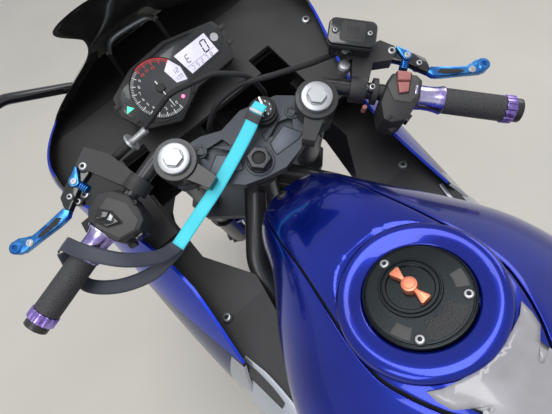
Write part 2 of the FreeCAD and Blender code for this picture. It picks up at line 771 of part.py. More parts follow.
def inset(points, thickness):
    """The same run of points moved toward the middle of the outline."""
    points = [Vector(*p) for p in points]
    middle = sum(points[1:], points[0]) * (1.0 / len(points))
    flat = (points[1] - points[0]).cross(points[-1] - points[0])
    for i in range(2, len(points)):
        turn = (points[1] - points[0]).cross(points[i] - points[0])
        if turn.Length > flat.Length:
            flat = turn
    flat.normalize()
    moved = []
    for i, point in enumerate(points):
        run = points[min(i + 1, len(points) - 1)] - points[max(i - 1, 0)]
        normal = flat.cross(run).normalize()
        if normal.dot(middle - point) < 0:
            normal = normal * -1
        moved.append(point + normal * thickness)
    return moved


def across_both(half):
    """Points of the left half, from its outer end to the middle, and their mirror image."""
    other = [(x, -y, z) for x, y, z in half if abs(y) > 1e-6]
    return list(half) + other[::-1]


def solid_loft(halves):
    return Part.makeLoft([closed_wire(across_both(half)) for half in halves], True, False)


def skin_loft(halves, thickness):
    """Wall of even thickness lofted through the sections."""
    wires = []
    for half in halves:
        outer = across_both(half)
        inner = inset(outer, thickness)
        wires.append(Part.Wire([
            curve(outer),
            Part.LineSegment(Vector(*outer[-1]), inner[-1]).toShape(),
            curve(inner[::-1]),
            Part.LineSegment(inner[0], Vector(*outer[0])).toShape(),
        ]))
    return Part.makeLoft(wires, True, False)


def inner_loft(halves, thickness):
    return Part.makeLoft([closed_wire(inset(across_both(half), thickness)) for half in halves], True, False)


# Tail shape, which the frame reaches

def tail_half(x, low_z, low_y, mid_z, mid_y, top_z, top_y, drop=0.0):
    return [(x, low_y, low_z), (x, mid_y, mid_z), (x, top_y, top_z), (x, 0, top_z + drop)]


TAIL = [
    (490, 690, 112, 745, 126, 778, 104, 2), (400, 705, 112, 760, 126, 785, 104, 2),
    (300, 735, 104, 785, 122, 808, 98, 2),
    (200, 765, 92, 820, 116, 846, 90, 2), (80, 795, 78, 850, 104, 872, 80, 3),
    (-60, 818, 62, 872, 86, 893, 62, 4),
    (-180, 840, 42, 888, 60, 905, 42, 4), (-285, 868, 14, 898, 22, 910, 14, 3),
]
tail_outer = solid_loft([tail_half(*row) for row in TAIL])
tail_room = solid_loft([
    tail_half(x + (6 if x > 480 else 0), lz - 14, ly - 4, mz - 3, my - 5, tz - 5, ty - 5, drop) for x, lz,
    ly, mz, my, tz, ty, drop in TAIL[:-1]
])

# Frame

def in_clamp(shape):
    moved = shape.copy()
    moved.Placement = CLAMP_FRAME
    return moved


head_low, head_high = lower_top + 7, clamp_low - 8
head_tube = in_clamp(upright(size("head_tube_radius"), head_low, head_high))
stem_bore = in_clamp(upright(size("stem_radius") + size("stem_clearance"), head_low - 40, head_high + 40))
main_rail = tube([(1078, 16, 850), (1000, 92, 796), (870, 122, 690), (650, 122, 560), (545, 118, 480),
    (520, 118, 300)], 17, 70)
down_rail = tube([(1122, 14, 768), (1050, 70, 700), (960, 122, 610), (800, 124, 520), (560, 118, 430)], 14,
    60)
seat_rail = tube([(640, 112, 560), (440, 104, 690), (290, 84, 748), (-120, 44, 852)], 13, 60)
strut = tube([(540, 114, 430), (260, 88, 748)], 11)
stand_pivot = Vector(size("stand_forward"), size("stand_side"), size("stand_up"))


def floor_height(x, y):
    low, high = BIKE.multVec(Vector(x, y, 0)).z, BIKE.multVec(Vector(x, y, 100)).z
    return -low * 100 / (high - low)


foot_x, foot_y = stand_pivot.x + 26, stand_pivot.y + size("stand_reach")
foot_z = floor_height(foot_x, foot_y)
stand_down = (Vector(foot_x, foot_y, foot_z) - stand_pivot).normalize()
stand_back = Vector(-1, 0.12, -0.04).normalize()
stand_axis = stand_down.cross(stand_back).normalize()


def about_stand(radius, low, high):
    """Round bar along the side stand's hinge line."""
    return Part.makeCylinder(radius, high - low, stand_pivot + stand_axis * low, stand_axis)


left_rails = [main_rail, down_rail, seat_rail, strut]
frame = joined(
    [head_tube] + left_rails + [mirrored(rail) for rail in left_rails] + [
        rod((543, -112, 470), (543, 112, 470), 14),
        rod((500, -104, 653), (500, 104, 653), 12),
        rod((60, -120, 809), (60, 120, 809), 10).common(tail_outer),
        rod((-100, -120, 848), (-100, 120, 848), 9).common(tail_outer),
        rod((300, -130, 748), (300, 130, 748), 10).common(tail_outer),
        rod((940, -106, 747), (940, 106, 747), 10),
        side_prism([(930, 747), (950, 747), (950, 800), (930, 800)], -30, 30),
        side_prism([(492, 650), (520, 650), (520, 800), (500, 800)], -18, 18),
        across(9, -130, 130, size("pivot_forward"), size("pivot_height")),
        across(25, 103, 133, 546, size("pivot_height")), across(25, -133, -103, 546, size("pivot_height")),
        across(19, 109, 137, 527, 320), across(19, -137, -109, 527, 320),
        tube([(530, 118, 322), (554, 113, 276), (596, 52, 248)], 11, 20),
        tube([(530, -118, 322), (554, -113, 276), (596, -52, 248)], 11, 20),
        rod((600, -74, 247), (600, 74, 247), 10),
        side_prism([(578, 262), (640, 258), (630, 200), (590, 200)], 66, 78),
        about_stand(8, -34, 15),
    ], clean=False
).cut(stem_bore)

# Swingarm, axle and shock

arm_in, arm_out = size("arm_inner"), size("arm_inner") + size("arm_thickness")
arm_outline = [(492, 340), (492, 388), (300, 372), (60, 344), (-62, 338), (-74, 314), (-62, 290), (60, 288),
    (300, 308)]
arm = side_prism(arm_outline, arm_in, arm_out)
yoke = side_prism([(576, 352), (576, 394), (470, 390), (470, 344)], 64, 96)
swingarm = joined([
    arm, mirrored(arm), yoke, mirrored(yoke),
    side_prism([(438, 338), (490, 344), (490, 386), (438, 380)], -arm_in - 4, arm_in + 4),
    across(20, -97, 97, size("pivot_forward"), size("pivot_height")),
    across(size("axle_radius"), -arm_out - 18, arm_out + 18, 0, rear_axle.z),
    across(15, chain_line + half_sprocket + 0.6, arm_in + 2, 0, rear_axle.z),
    across(15, -arm_in - 2, -(size("rear_disc_offset") + size("disc_thickness") / 2) - 0.6, 0, rear_axle.z),
    across(17, arm_out, arm_out + 12, 0, rear_axle.z), across(17, -arm_out - 12, -arm_out, 0, rear_axle.z),
    side_prism([(462, 380), (488, 380), (486, 412), (464, 412)], -14, 14),
])
bobbin = across(size("bobbin_hole_radius"), arm_out - 20, arm_out + 5, -38, 304)
shaped("swingarm", swingarm.cut([frame, bobbin, mirrored(bobbin)]), BIKE)
shaped("frame", frame, BIKE)

spring = rod((476, 0, 432), (495, 0, 610), 27).fuse([rod((474, 0, 405), (476, 0, 434), 15),
    rod((495, 0, 608), (499, 0, 646), 14)])
shaped("rear_shock", spring.removeSplitter().cut(swingarm).cut(frame), BIKE)

# Engine

crank = joined([
    side_prism([(600, 262), (840, 250), (880, 300), (880, 400), (830, 440), (700, 450), (604, 430)], -96, 76),
    side_prism([(700, 254), (840, 250), (880, 300), (880, 400), (830, 440), (710, 450)], -104, 100),
    side_prism([(690, 212), (850, 208), (868, 256), (680, 262)], -60, 60),
])
cylinders = side_prism([(722, 440), (858, 428), (894, 628), (758, 652)], -92, 92)
head = side_prism([(750, 652), (898, 626), (910, 690), (876, 720), (790, 728), (758, 700)], -98, 98)
output = across(12, 70, 86, output_shaft.x, output_shaft.z).fuse(across(front_pitch - 5.4, 86, 94,
    output_shaft.x, output_shaft.z))
engine = joined([crank, cylinders, head, output, across(10, -118, 118, 690, 440),
    across(12, -122, 122, 840, 520)])
engine = engine.cut(swingarm)
shaped("engine", engine.cut(frame), BIKE)
right_cover = joined([across(88, -132, -100, 756, 350),
    side_prism([(640, 300), (860, 290), (870, 400), (800, 436), (640, 420)], -116, -100)])
left_cover = joined([across(72, 98, 128, 800, 346),
    side_prism([(606, 300), (700, 296), (716, 420), (606, 428)], 99, 112),
                     side_prism([(700, 296), (716, 296), (716, 420), (700, 424)], 99, 112)])
shaped("engine_covers",
    Part.makeCompound([right_cover.cut(engine).cut(frame), left_cover.cut(engine).cut(frame)]), BIKE)

radiator = side_prism([(985, 440), (1030, 452), (1010, 640), (965, 628)], -138, 138).fuse([
    side_prism([(980, 440), (1036, 452), (1016, 640), (960, 628)], 138, 158),
    side_prism([(980, 440), (1036, 452), (1016, 640), (960, 628)], -158, -138)])
radiator_stay = rod((975, 100, 560), (930, 118, 590), 7)
radiator = joined([radiator, radiator_stay, mirrored(radiator_stay)]).cut(frame)
shaped("radiator", radiator, BIKE)

pipes = [tube([(890, side * 48, 650), (948, side * 48, 610), (940, side * 44, 330),
    (900, -20 + side * 26, 190), (700, -40 + side * 20, 182)], 18, 50) for side in (1, -1)]
collector = tube([(712, -40, 180), (560, -60, 180), (470, -150, 215), (400, -200, 300)], 24, 60)
header = joined(pipes + [collector]).cut(engine).cut(frame)
shaped("exhaust_header", header, BIKE)
# Tank, seats and tail

def tank_half(x, low_z, low_y, wide_z, wide_y, shoulder_z, shoulder_y, top_z):
    return [(x, low_y, low_z), (x, wide_y, wide_z), (x, shoulder_y, shoulder_z), (x, 0, top_z)]


TANK = [
    (1006, 836, 24, 866, 33, 892, 26, 899), (980, 806, 44, 862, 64, 908, 46, 920),
    (920, 790, 62, 872, 86, 940, 60, 954),
    (850, 780, 84, 882, 128, 964, 70, 978), (770, 776, 92, 888, 160, 980, 72, 991),
    (690, 775, 92, 880, 165, 978, 68, 995),
    (600, 775, 82, 858, 130, 946, 56, 968), (530, 775, 66, 830, 96, 884, 48, 902),
    (486, 785, 50, 815, 68, 840, 44, 852),
]
tank = solid_loft([tank_half(*row) for row in TANK])
cap_place = Placement(Vector(size("cap_forward"), 0, size("cap_up")),
    Rotation(Vector(0, 1, 0), size("cap_tilt")))
cap_room = Part.makeCylinder(size("cap_radius"), 60, Vector(0, 0, -9), Vector(0, 0, 1))
cap_room.Placement = cap_place
bezel = Part.makeCone(size("cap_radius") + 2, size("bezel_radius") + 12, size("bezel_depth") * 1.5,
    Vector(0, 0, -size("bezel_depth")), Vector(0, 0, 1))
bezel.Placement = cap_place
tank = tank.cut([cap_room, bezel])
tank = tank.cut(frame)
shaped("fuel_tank", tank, BIKE)
cap_ring = Part.makeCylinder(size("cap_radius"), 11, Vector(0, 0, -9), Vector(0, 0, 1)).cut(
    Part.makeCylinder(28, 20, Vector(0, 0, -1), Vector(0, 0, 1)))
cap_knob = joined([Part.makeCylinder(26, 4, Vector(0, 0, -1), Vector(0, 0, 1)),
    Part.makeBox(12, 44, 9, Vector(-6, -22, 2))])
cap_knob.rotate(Vector(0, 0, 0), Vector(0, 0, 1), -58)
screw_circle = size("cap_radius") - 8
cap_screws = [
    Part.makeCylinder(4, 2.5, Vector(screw_circle * math.cos(math.radians(a)),
    screw_circle * math.sin(math.radians(a)), 2), Vector(0, 0, 1))
    for a in (85, 205, 325)
]
cap = joined([cap_ring] + cap_screws + [cap_knob])
cap.Placement = cap_place
shaped("fuel_cap", cap.cut(tank), BIKE)


tail = tail_outer.cut([tail_room, frame, tank])
lamp_room = side_prism([(-400, 700), (-232, 700), (-232, 1000), (-400, 1000)], -200, 200)
shaped("tail_cowl", tail.cut(lamp_room), BIKE)
shaped("tail_light", tail.common(lamp_room), BIKE)

can = joined([rod((404, -198, 298), (340, -205, 325), 34), rod((345, -204, 322), (40, -216, 430), 55),
    rod((42, -216, 429), (22, -216.5, 436), 30)])
can = can.cut(rod((60, -215, 424), (0, -217, 444), 22))
stay = rod((200, -184, 400), (288, -84, 744), 8)
can = joined([can, stay]).cut([header, frame, tail])
can = max(can.Solids, key=lambda s: s.Volume)
shaped("silencer", can, BIKE)

rider_seat = solid_loft([
    [(566, 48, 772), (566, 62, 786), (566, 48, 802), (566, 0, 806)],
    [(480, 84, 760), (480, 108, 786), (480, 84, 806), (480, 0, 803)],
    [(380, 98, 765), (380, 126, 794), (380, 98, 812), (380, 0, 803)],
    [(290, 88, 780), (290, 116, 812), (290, 86, 828), (290, 0, 824)],
    [(262, 80, 790), (262, 104, 820), (262, 76, 838), (262, 0, 838)],
])
passenger_seat = solid_loft([
    [(250, 60, 800), (250, 84, 850), (250, 66, 878), (250, 0, 882)],
    [(215, 76, 820), (215, 104, 868), (215, 82, 894), (215, 0, 894)],
    [(80, 70, 840), (80, 98, 886), (80, 74, 912), (80, 0, 908)],
    [(-60, 54, 850), (-60, 76, 898), (-60, 56, 920), (-60, 0, 916)],
    [(-96, 40, 860), (-96, 54, 896), (-96, 38, 908), (-96, 0, 906)],
])
shaped("rider_seat", rider_seat.cut([tail_outer, tank, frame]), BIKE)
shaped("passenger_seat", passenger_seat.cut(tail_outer).cut(rider_seat), BIKE)

# Fairings: one wall lofted nose to flank, cut apart along side-view lines

def plan_half(z, nose, shoulder_x, shoulder_y, flare_x, flare_y, mid_x, mid_y, back_x, back_y):
    return [(back_x, back_y, z), (mid_x, mid_y, z), (flare_x, flare_y, z), (shoulder_x, shoulder_y, z),
        (nose, 0, z)]


FAIRING = [
    plan_half(215, 1240, 1190, 62, 1110, 104, 980, 134, 600, 130),
    plan_half(330, 1300, 1240, 92, 1140, 150, 1000, 178, 600, 168),
    plan_half(470, 1370, 1300, 118, 1180, 190, 1030, 212, 600, 178),
    plan_half(620, 1462, 1386, 116, 1230, 218, 1060, 240, 600, 180),
    plan_half(740, 1566, 1462, 108, 1280, 238, 1070, 254, 600, 170),
    plan_half(850, 1572, 1470, 116, 1295, 246, 1000, 190, 600, 150),
    plan_half(945, 1490, 1412, 150, 1288, 246, 1110, 184, 600, 130),
    plan_half(1010, 1400, 1345, 112, 1262, 172, 1120, 160, 600, 110),
    plan_half(1070, 1318, 1288, 74, 1240, 100, 1150, 112, 600, 90),
    plan_half(1135, 1224, 1212, 46, 1190, 62, 1150, 74, 600, 70),
]
wall = size("skin")
fairing = skin_loft(FAIRING, wall)
cavity = inner_loft(FAIRING, wall)
hull = solid_loft(FAIRING)

nose_side = side_prism([(1330, 640), (1700, 640), (1700, 905), (1440, 935), (1345, 968), (1240, 962),
    (1225, 900), (1290, 800)], -400, 400)
flank_side = side_prism([
    (1225, 900), (1290, 800), (1330, 640), (1240, 600), (1150, 505), (1100, 420), (1060, 380), (760, 392),
    (690, 450), (740, 560), (830, 640),
    (872, 770), (890, 802), (1000, 858), (1120, 905), (1218, 940), (1240, 962)], -400, 400)
belly_side = side_prism([(1060, 380), (1050, 300), (1000, 222), (700, 222), (620, 260), (610, 330),
    (690, 395), (760, 392)], -400, 400)
nose = fairing.common(nose_side)
lens_room = front_prism([
    (26, 752), (96, 764), (168, 802), (214, 858), (206, 880), (150, 862), (84, 830), (26, 806)], 1250, 1700)
intake = front_prism([(-62, 694), (62, 694), (44, 726), (-44, 726)], 1400, 1700)
lenses = nose.common(lens_room.fuse(mirrored(lens_room)))
nose = nose.cut([lens_room, mirrored(lens_room), intake])
shaped("nose_cowl", nose, BIKE)
shaped("headlights", lenses, BIKE)
vent = side_prism([(1010, 548), (1120, 600), (1150, 668), (1112, 690), (1046, 668), (1000, 600)], -400, 400)
flanks = fairing.common(flank_side).cut(vent)
left_half = Part.makeBox(2400, 400, 1500, Vector(-600, 0, 0))
right_half = Part.makeBox(2400, 400, 1500, Vector(-600, -400, 0))
belly = fairing.common(belly_side).cut(frame)
shaped("left_fairing", flanks.common(left_half), BIKE)
shaped("right_fairing", flanks.common(right_half), BIKE)
shaped("belly_pan", belly, BIKE)

stays = []
for side in (1, -1):
    stays.append(rod((930, side * 105, 740), (930, side * 300, 740), 8))
    stays.append(rod((900, side * 100, 575), (900, side * 300, 575), 8))
    stays.append(rod((690, side * 50, 238), (690, side * 300, 238), 9))
nose_stay = [rod((1113, 0, 800), (1300, 0, 870), 14), rod((1290, -300, 866), (1290, 300, 866), 11)]
front_stay = joined(nose_stay).common(cavity).cut([frame,
    in_clamp(upright(size("head_tube_radius"), head_low, head_high))])
side_stays = [stay.common(cavity).cut([frame, engine]) for stay in stays]
print("stays", [len(s.Solids) for s in side_stays], len(front_stay.Solids))
shaped("fairing_stays",
    Part.makeCompound([s for stay in side_stays for s in stay.Solids] + front_stay.Solids), BIKE)

panel_slope = side_prism([(800, 780), (960, 794), (1200, 850), (1200, 846), (960, 790), (800, 776)], -400,
    400)
inner = []
for side in (1, -1):
    plan = top_prism([(1200, side * 152), (1200, side * 320), (800, side * 320), (830, side * 130),
        (985, side * 104), (1060, side * 150)], 700, 900)
    inner.append(plan.common(panel_slope).common(cavity).cut(frame))
inner = [piece.cut([tank] + side_stays) for piece in inner]
under_nose = side_prism([(1298, 712), (1330, 700), (1500, 652), (1500, 648), (1330, 696), (1298, 708)],
    -400, 400)
inner.append(under_nose.common(cavity).cut(nose))
shaped("inner_panels", Part.makeCompound([s for piece in inner for s in piece.Solids]), BIKE)

screen_side = side_prism([(1345, 968), (1440, 935), (1700, 905), (1700, 1200), (1200, 1200), (1226, 1128),
    (1284, 1072), (1322, 1020)], -400, 400)
screen = max(fairing.common(screen_side).Solids, key=lambda piece: piece.Volume)
print("screen", [round(s.Volume) for s in screen.Solids])
shaped("windscreen", screen, BIKE)

# Instruments

DIAL = Placement(
    Vector(size("dial_forward"), 0, size("dial_up")),
    Rotation(Vector(0, 1, 0), Vector(math.sin(math.radians(size("dial_tilt"))), 0,
    math.cos(math.radians(size("dial_tilt")))),
             Vector(math.cos(math.radians(size("dial_tilt"))), 0,
             -math.sin(math.radians(size("dial_tilt")))), "XYZ"))
dial_outline = [(98, 40), (106, 14), (92, -22), (40, -46), (-12, -22), (-82, -20), (-99, 14), (-90, 42),
    (-10, 62), (52, 58)]
cluster = softened(top_prism(dial_outline, 0, size("dial_depth")), 3)
cluster.Placement = DIAL
cluster_stay = rod((1245, 0, 945), (1285, 0, 870), 10)
cluster = cluster.fuse(cluster_stay).removeSplitter().cut(front_stay)
shaped("instrument_cluster", cluster, BIKE)
dash = side_prism(
    [(1080, 876), (1196, 911), (1330, 948), (1460, 948), (1460, 942), (1332, 942), (1196, 905),
    (1080, 870)], -300, 300)
dash_notch = top_prism([(1000, -150), (1228, -150), (1228, -108), (1196, -108), (1196, 108), (1228, 108),
    (1228, 150), (1000, 150)], 800, 1000)
dash = dash.common(cavity).cut([cluster, front_stay, dash_notch])
print("dash", [round(s.Volume) for s in dash.Solids])
shaped("dash_panel", dash, BIKE)

# Small parts on the chassis

mirror_arm = tube([(1352, 110, 975), (1344, 141, 1000), (1319, 216, 1056), (1300, 272, 1068)], 8, 40)
mirror_head = softened(Part.makeBox(30, 110.8, 62, Vector(1280, 250, 1040)), 12)
mirror_left = joined([mirror_arm, mirror_head]).cut(hull)
mirror_left = max(mirror_left.Solids, key=lambda s: s.Volume)
shaped("mirrors", pair(mirror_left), BIKE)

hanger = side_prism([(575, 300), (600, 420), (560, 440), (430, 380), (440, 350), (520, 300)], 136, 144)
peg = rod((455, 140, 365), (455, 232, 369), 11)
guard = side_prism([(470, 380), (500, 395), (470, 450), (425, 440)], 136, 142)
pedal_left = joined([across(9, 142, 156, 560, 318),
    tube([(560, 152, 318), (606, 182, 314), (690, 184, 306)], 6, 20),
    rod((690, 180, 306), (690, 218, 306), 7)])
left_rest = joined([hanger, peg, guard, pedal_left]).cut(frame)
pedal_right = joined([across(9, -156, -142, 560, 318),
    tube([(560, -152, 318), (606, -182, 312), (684, -184, 298)], 6, 20),
    rod((684, -180, 298), (684, -214, 298), 8)])
right_rest = joined([mirrored(hanger), mirrored(peg), mirrored(guard), pedal_right]).cut(frame)
shaped("left_footrest", left_rest.cut([left_cover, swingarm]), BIKE)
shaped("right_footrest", right_rest.cut([right_cover, swingarm, header]), BIKE)
pillion = joined([tube([(300, 88, 735), (250, 150, 560), (235, 150, 500)], 8, 30),
    rod((235, 144, 505), (235, 226, 508), 10)])
pillion_left = pillion.cut([frame, tail_outer])
pillion_right = mirrored(pillion).cut([frame, tail_outer, can])
shaped("passenger_footrests", Part.makeCompound(
    [max(pillion_left.Solids, key=lambda s: s.Volume), max(pillion_right.Solids, key=lambda s: s.Volume)]),
    BIKE)

mudguard = joined([
    side_prism([(-100, 852), (-168, 850), (-184, 838), (-250, 854), (-300, 800), (-372, 700), (-420, 640),
    (-414, 636), (-362, 690),
                (-290, 780), (-240, 830), (-190, 818), (-150, 826), (-100, 836)], -36, 36),
    side_prism([(-420, 640), (-414, 636), (-404, 668), (-352, 770), (-358, 774), (-410, 672)], -70, 70),
])
mudguard = mudguard.cut([tail, frame])
mudguard = max(mudguard.Solids, key=lambda s: s.Volume)
print("mudguard", [round(s.Volume) for s in mudguard.Solids])
shaped("rear_mudguard", mudguard, BIKE)
plate = Part.makeBox(3, 180, 110, Vector(-3, -90, 0))
plate.Placement = Placement(Vector(-421, 0, 640), Rotation(Vector(0, 1, 0), 26))
shaped("number_plate", plate.cut(mudguard), BIKE)
rear_lamp = joined([rod((-330, 35.4, 770), (-330, 82, 770), 6),
    Part.makeBox(24, 62, 24, Vector(-342, 80, 758))])
front_lamp = joined([rod((1310, 190, 775), (1310, 262, 775), 7),
    Part.makeBox(28, 46, 26, Vector(1296, 256, 762))]).cut(hull)
front_lamp = max(front_lamp.Solids, key=lambda s: s.Volume)
rear_lamp = rear_lamp.cut(mudguard)
shaped("indicators", Part.makeCompound([rear_lamp, mirrored(rear_lamp), front_lamp, mirrored(front_lamp)]),
    BIKE)

# Calipers and front fender

disc_line = -size("front_disc_offset")
front_caliper = side_prism([(-78, axle_drop + 66), (-20, axle_drop + 40), (14, axle_drop + 96),
    (10, axle_drop + 150), (-40, axle_drop + 156), (-84, axle_drop + 118)], -98, -50)
front_caliper = front_caliper.cut([
    across(size("front_disc_radius") + 4, disc_line - 6, disc_line + 6, fork_forward, axle_drop), sliders])
front_caliper = max(front_caliper.Solids, key=lambda s: s.Volume)
shaped("front_caliper", front_caliper, BARS)
rear_line = -size("rear_disc_offset")
rear_caliper = side_prism([(-30, rear_axle.z + 60), (60, rear_axle.z + 60), (70, rear_axle.z + 122),
    (10, rear_axle.z + 138), (-36, rear_axle.z + 112)], -116, -68)
rear_caliper = rear_caliper.fuse(side_prism([(-30, rear_axle.z + 26), (40, rear_axle.z + 26),
    (40, rear_axle.z + 70), (-30, rear_axle.z + 70)], -116, -104)).removeSplitter()
rear_caliper = rear_caliper.cut([across(size("rear_disc_radius") + 4, rear_line - 6, rear_line + 6, 0,
    rear_axle.z), swingarm])
rear_caliper = max(rear_caliper.Solids, key=lambda s: s.Volume)
shaped("rear_caliper", rear_caliper, BIKE)

crown_radius = size("front_tyre_radius") - size("front_tyre_width") / 2
fender_ring = Part.makeTorus(crown_radius, 68).cut(Part.makeTorus(crown_radius, 64.5))
fender_ring.Placement = Placement(Vector(fork_forward, 0, axle_drop), ALONG_Y)
fender_keep = side_prism([
    (fork_forward + 60, axle_drop + 60), (fork_forward + 190, axle_drop + 190),
    (fork_forward + 260, axle_drop + 330), (fork_forward - 330, axle_drop + 330),
    (fork_forward - 330, axle_drop + 20), (fork_forward - 200, axle_drop + 20),
    (fork_forward - 120, axle_drop + 120)], -66, 66)
fender = fender_ring.common(fender_keep)
tyre_room = Part.makeCylinder(258, 200, Vector(fork_forward, -100, axle_drop), Vector(0, 1, 0))
fender = fender.cut(tyre_room)
tab = side_prism([(fork_forward - 20, axle_drop + 255), (fork_forward + 20, axle_drop + 255),
    (fork_forward + 24, axle_drop + 300), (fork_forward - 24, axle_drop + 300)], 56, 80)
fender = joined([fender, tab, mirrored(tab)]).cut([sliders, Part.makeCylinder(258, 200,
    Vector(fork_forward, -100, axle_drop), Vector(0, 1, 0))])
print("fender", [round(s.Volume) for s in fender.Solids])
shaped("front_fender", fender, BARS)

# Side stand: down as parked, its foot flat on the floor

floor_up = BIKE.Rotation.inverted().multVec(Vector(0, 0, 1))
foot = Part.makeCylinder(26, 7, Vector(foot_x, foot_y, foot_z), floor_up)
leg_end = Vector(foot_x, foot_y, foot_z) + floor_up * 5
leg = rod(tuple(stand_pivot + stand_down * 10), tuple(leg_end), 10)
side_stand = joined([foot, leg, about_stand(18, -9, 12)]).cut(about_stand(8.08, -60, 60))
shaped("side_stand", side_stand, BIKE)

# Check and export

doc.recompute()
for item in doc.Objects:
    if "Invalid" in item.State or "Error" in item.State:
        raise SystemExit(f"{item.Name} did not recompute: {item.State}")
os.makedirs("parts", exist_ok=True)
total = 0.0
for item in finished:
    shape = item.Shape
    print("checking", item.Label)
    if shape.isNull() or not shape.isValid() or not shape.Solids:
        print(f"{item.Label} is not a valid solid")
        continue
    shape.exportStep(f"parts/{item.Label}.step")
    total += shape.Volume
    box = shape.BoundBox
    edges = (box.XMin, box.XMax, box.YMin, box.YMax, box.ZMin, box.ZMax)
    spans = " ".join(f"{edge:8.1f}" for edge in edges)
    print(f"{item.Label:20} solids {len(shape.Solids)} volume {shape.Volume / 1000:9.1f} cm3 box {spans}")
whole = Part.makeCompound([item.Shape for item in finished]).BoundBox
whole_edges = (whole.XMin, whole.XMax, whole.YMin, whole.YMax, whole.ZMin, whole.ZMax)
print("whole box", *(f"{edge:.2f}" for edge in whole_edges), f"litres {total / 1e6:.1f}")
head = BARS.Base
print("steering anchor", [round(c, 3) for c in head], "axis",
    [round(c, 6) for c in BARS.Rotation.multVec(Vector(0, 0, 1))])
print("front hub", [round(c, 3) for c in FRONT_WHEEL.Base], "axis",
    [round(c, 6) for c in FRONT_WHEEL.Rotation.multVec(Vector(0, 1, 0))])
print("rear hub", [round(c, 3) for c in REAR_WHEEL.Base], "axis",
    [round(c, 6) for c in REAR_WHEEL.Rotation.multVec(Vector(0, 1, 0))])
print("stand anchor", [round(c, 3) for c in BIKE.multVec(stand_pivot)], "axis",
    [round(c, 6) for c in BIKE.Rotation.multVec(stand_axis)],
      "folds", round(math.degrees(stand_down.getAngle(stand_back)), 2))

print("stem mount", [round(c, 3)
    for c in BARS.multVec(Vector(0, 0, size("stem_top") - size("stem_bore_depth") / 2))])
print("left bobbin", [round(c, 3) for c in BIKE.multVec(Vector(-38, arm_out - 10, 304))])
print("right bobbin", [round(c, 3) for c in BIKE.multVec(Vector(-38, 10 - arm_out, 304))])
gap = BIKE.multVec(Vector(388, 0, 560))
print("gap box low", [round(c, 3) for c in gap - Vector(48, 40, 100)])
print("gap box high", [round(c, 3) for c in gap + Vector(48, 40, 100)])
print("bike matrix", [round(c, 6) for c in BIKE.toMatrix().A])
print("bars matrix", [round(c, 6) for c in BARS.toMatrix().A])
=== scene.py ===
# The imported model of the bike: its solids are the fixed frame that every piece below is made to.
# Sizes are in the upright bike's own millimetres: x forward from the rear axle, y to the left, z up.
# BIKE leans that frame on the side stand.

import bpy
import bmesh
import math
from mathutils import Matrix, Vector


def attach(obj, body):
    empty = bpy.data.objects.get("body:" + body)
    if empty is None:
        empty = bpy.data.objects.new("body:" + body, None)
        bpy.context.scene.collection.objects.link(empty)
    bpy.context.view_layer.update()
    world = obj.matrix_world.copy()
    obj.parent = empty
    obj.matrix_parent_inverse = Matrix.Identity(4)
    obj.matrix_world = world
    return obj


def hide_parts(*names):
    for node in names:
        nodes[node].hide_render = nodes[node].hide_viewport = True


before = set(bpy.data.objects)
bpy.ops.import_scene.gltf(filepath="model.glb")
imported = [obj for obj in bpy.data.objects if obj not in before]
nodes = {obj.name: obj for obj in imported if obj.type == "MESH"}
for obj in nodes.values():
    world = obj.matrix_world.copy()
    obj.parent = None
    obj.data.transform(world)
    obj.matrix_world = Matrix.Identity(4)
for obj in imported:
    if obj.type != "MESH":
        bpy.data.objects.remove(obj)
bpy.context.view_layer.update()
BIKE = Matrix((
    (0.999999, 0.000302, -0.001554, -619.15),
    (0.0, 0.981627, 0.190809, -184.3),
    (0.001583, -0.190809, 0.981626, 1.286),
    (0, 0, 0, 1),
))


# Camera: held over the rider's seat, looking forward and down past the filler to the bars.
# A wide lens, as on a phone; its axes are given in the upright bike's frame.

RIGHT = (-0.57972, -0.75960, -0.29485)
UP = (0.59698, -0.64223, 0.48078)
BACK = (-0.55457, 0.10269, 0.82578)
EYE = Vector((678.72, 81.36, 1358.37))
SENSOR_MM, LENS_MM = 36, 27.44
camera = bpy.data.objects.new("photo_camera", bpy.data.cameras.new("photo_camera"))
bpy.context.scene.collection.objects.link(camera)
camera.data.sensor_width, camera.data.lens = SENSOR_MM, LENS_MM
camera.data.clip_start = 0.05
turn = BIKE.to_3x3() @ Matrix((RIGHT, UP, BACK)).transposed()
camera.matrix_world = Matrix.Translation(BIKE @ EYE * 0.001) @ turn.to_4x4()
bpy.context.scene.camera = camera


# Chassis: a tubular steel trellis, a box-section swingarm and one coil-over shock, all powder coated.

def linear(code):
    """An sRGB hex value as the linear colour that a shader takes."""
    shares = [int(code[i:i + 2], 16) / 255 for i in (0, 2, 4)]
    return (*(s / 12.92 if s <= 0.04045 else ((s + 0.055) / 1.055) ** 2.4 for s in shares), 1.0)


def add_node(material, kind, links=(), **settings):
    """Adds a node with its settings and links or fills its sockets; the principled one is there already."""
    tree = material.node_tree
    made = tree.nodes[kind] if kind == "Principled BSDF" else tree.nodes.new("ShaderNode" + kind)
    for key, value in settings.items():
        setattr(made, key, value)
    for key, value in dict(links).items():
        if isinstance(value, bpy.types.NodeSocket):
            tree.links.new(value, made.inputs[key])
        else:
            made.inputs[key].default_value = value
    return made


# A noise texture seldom leaves this range
NOISE_LOW, NOISE_HIGH = 0.35, 0.65


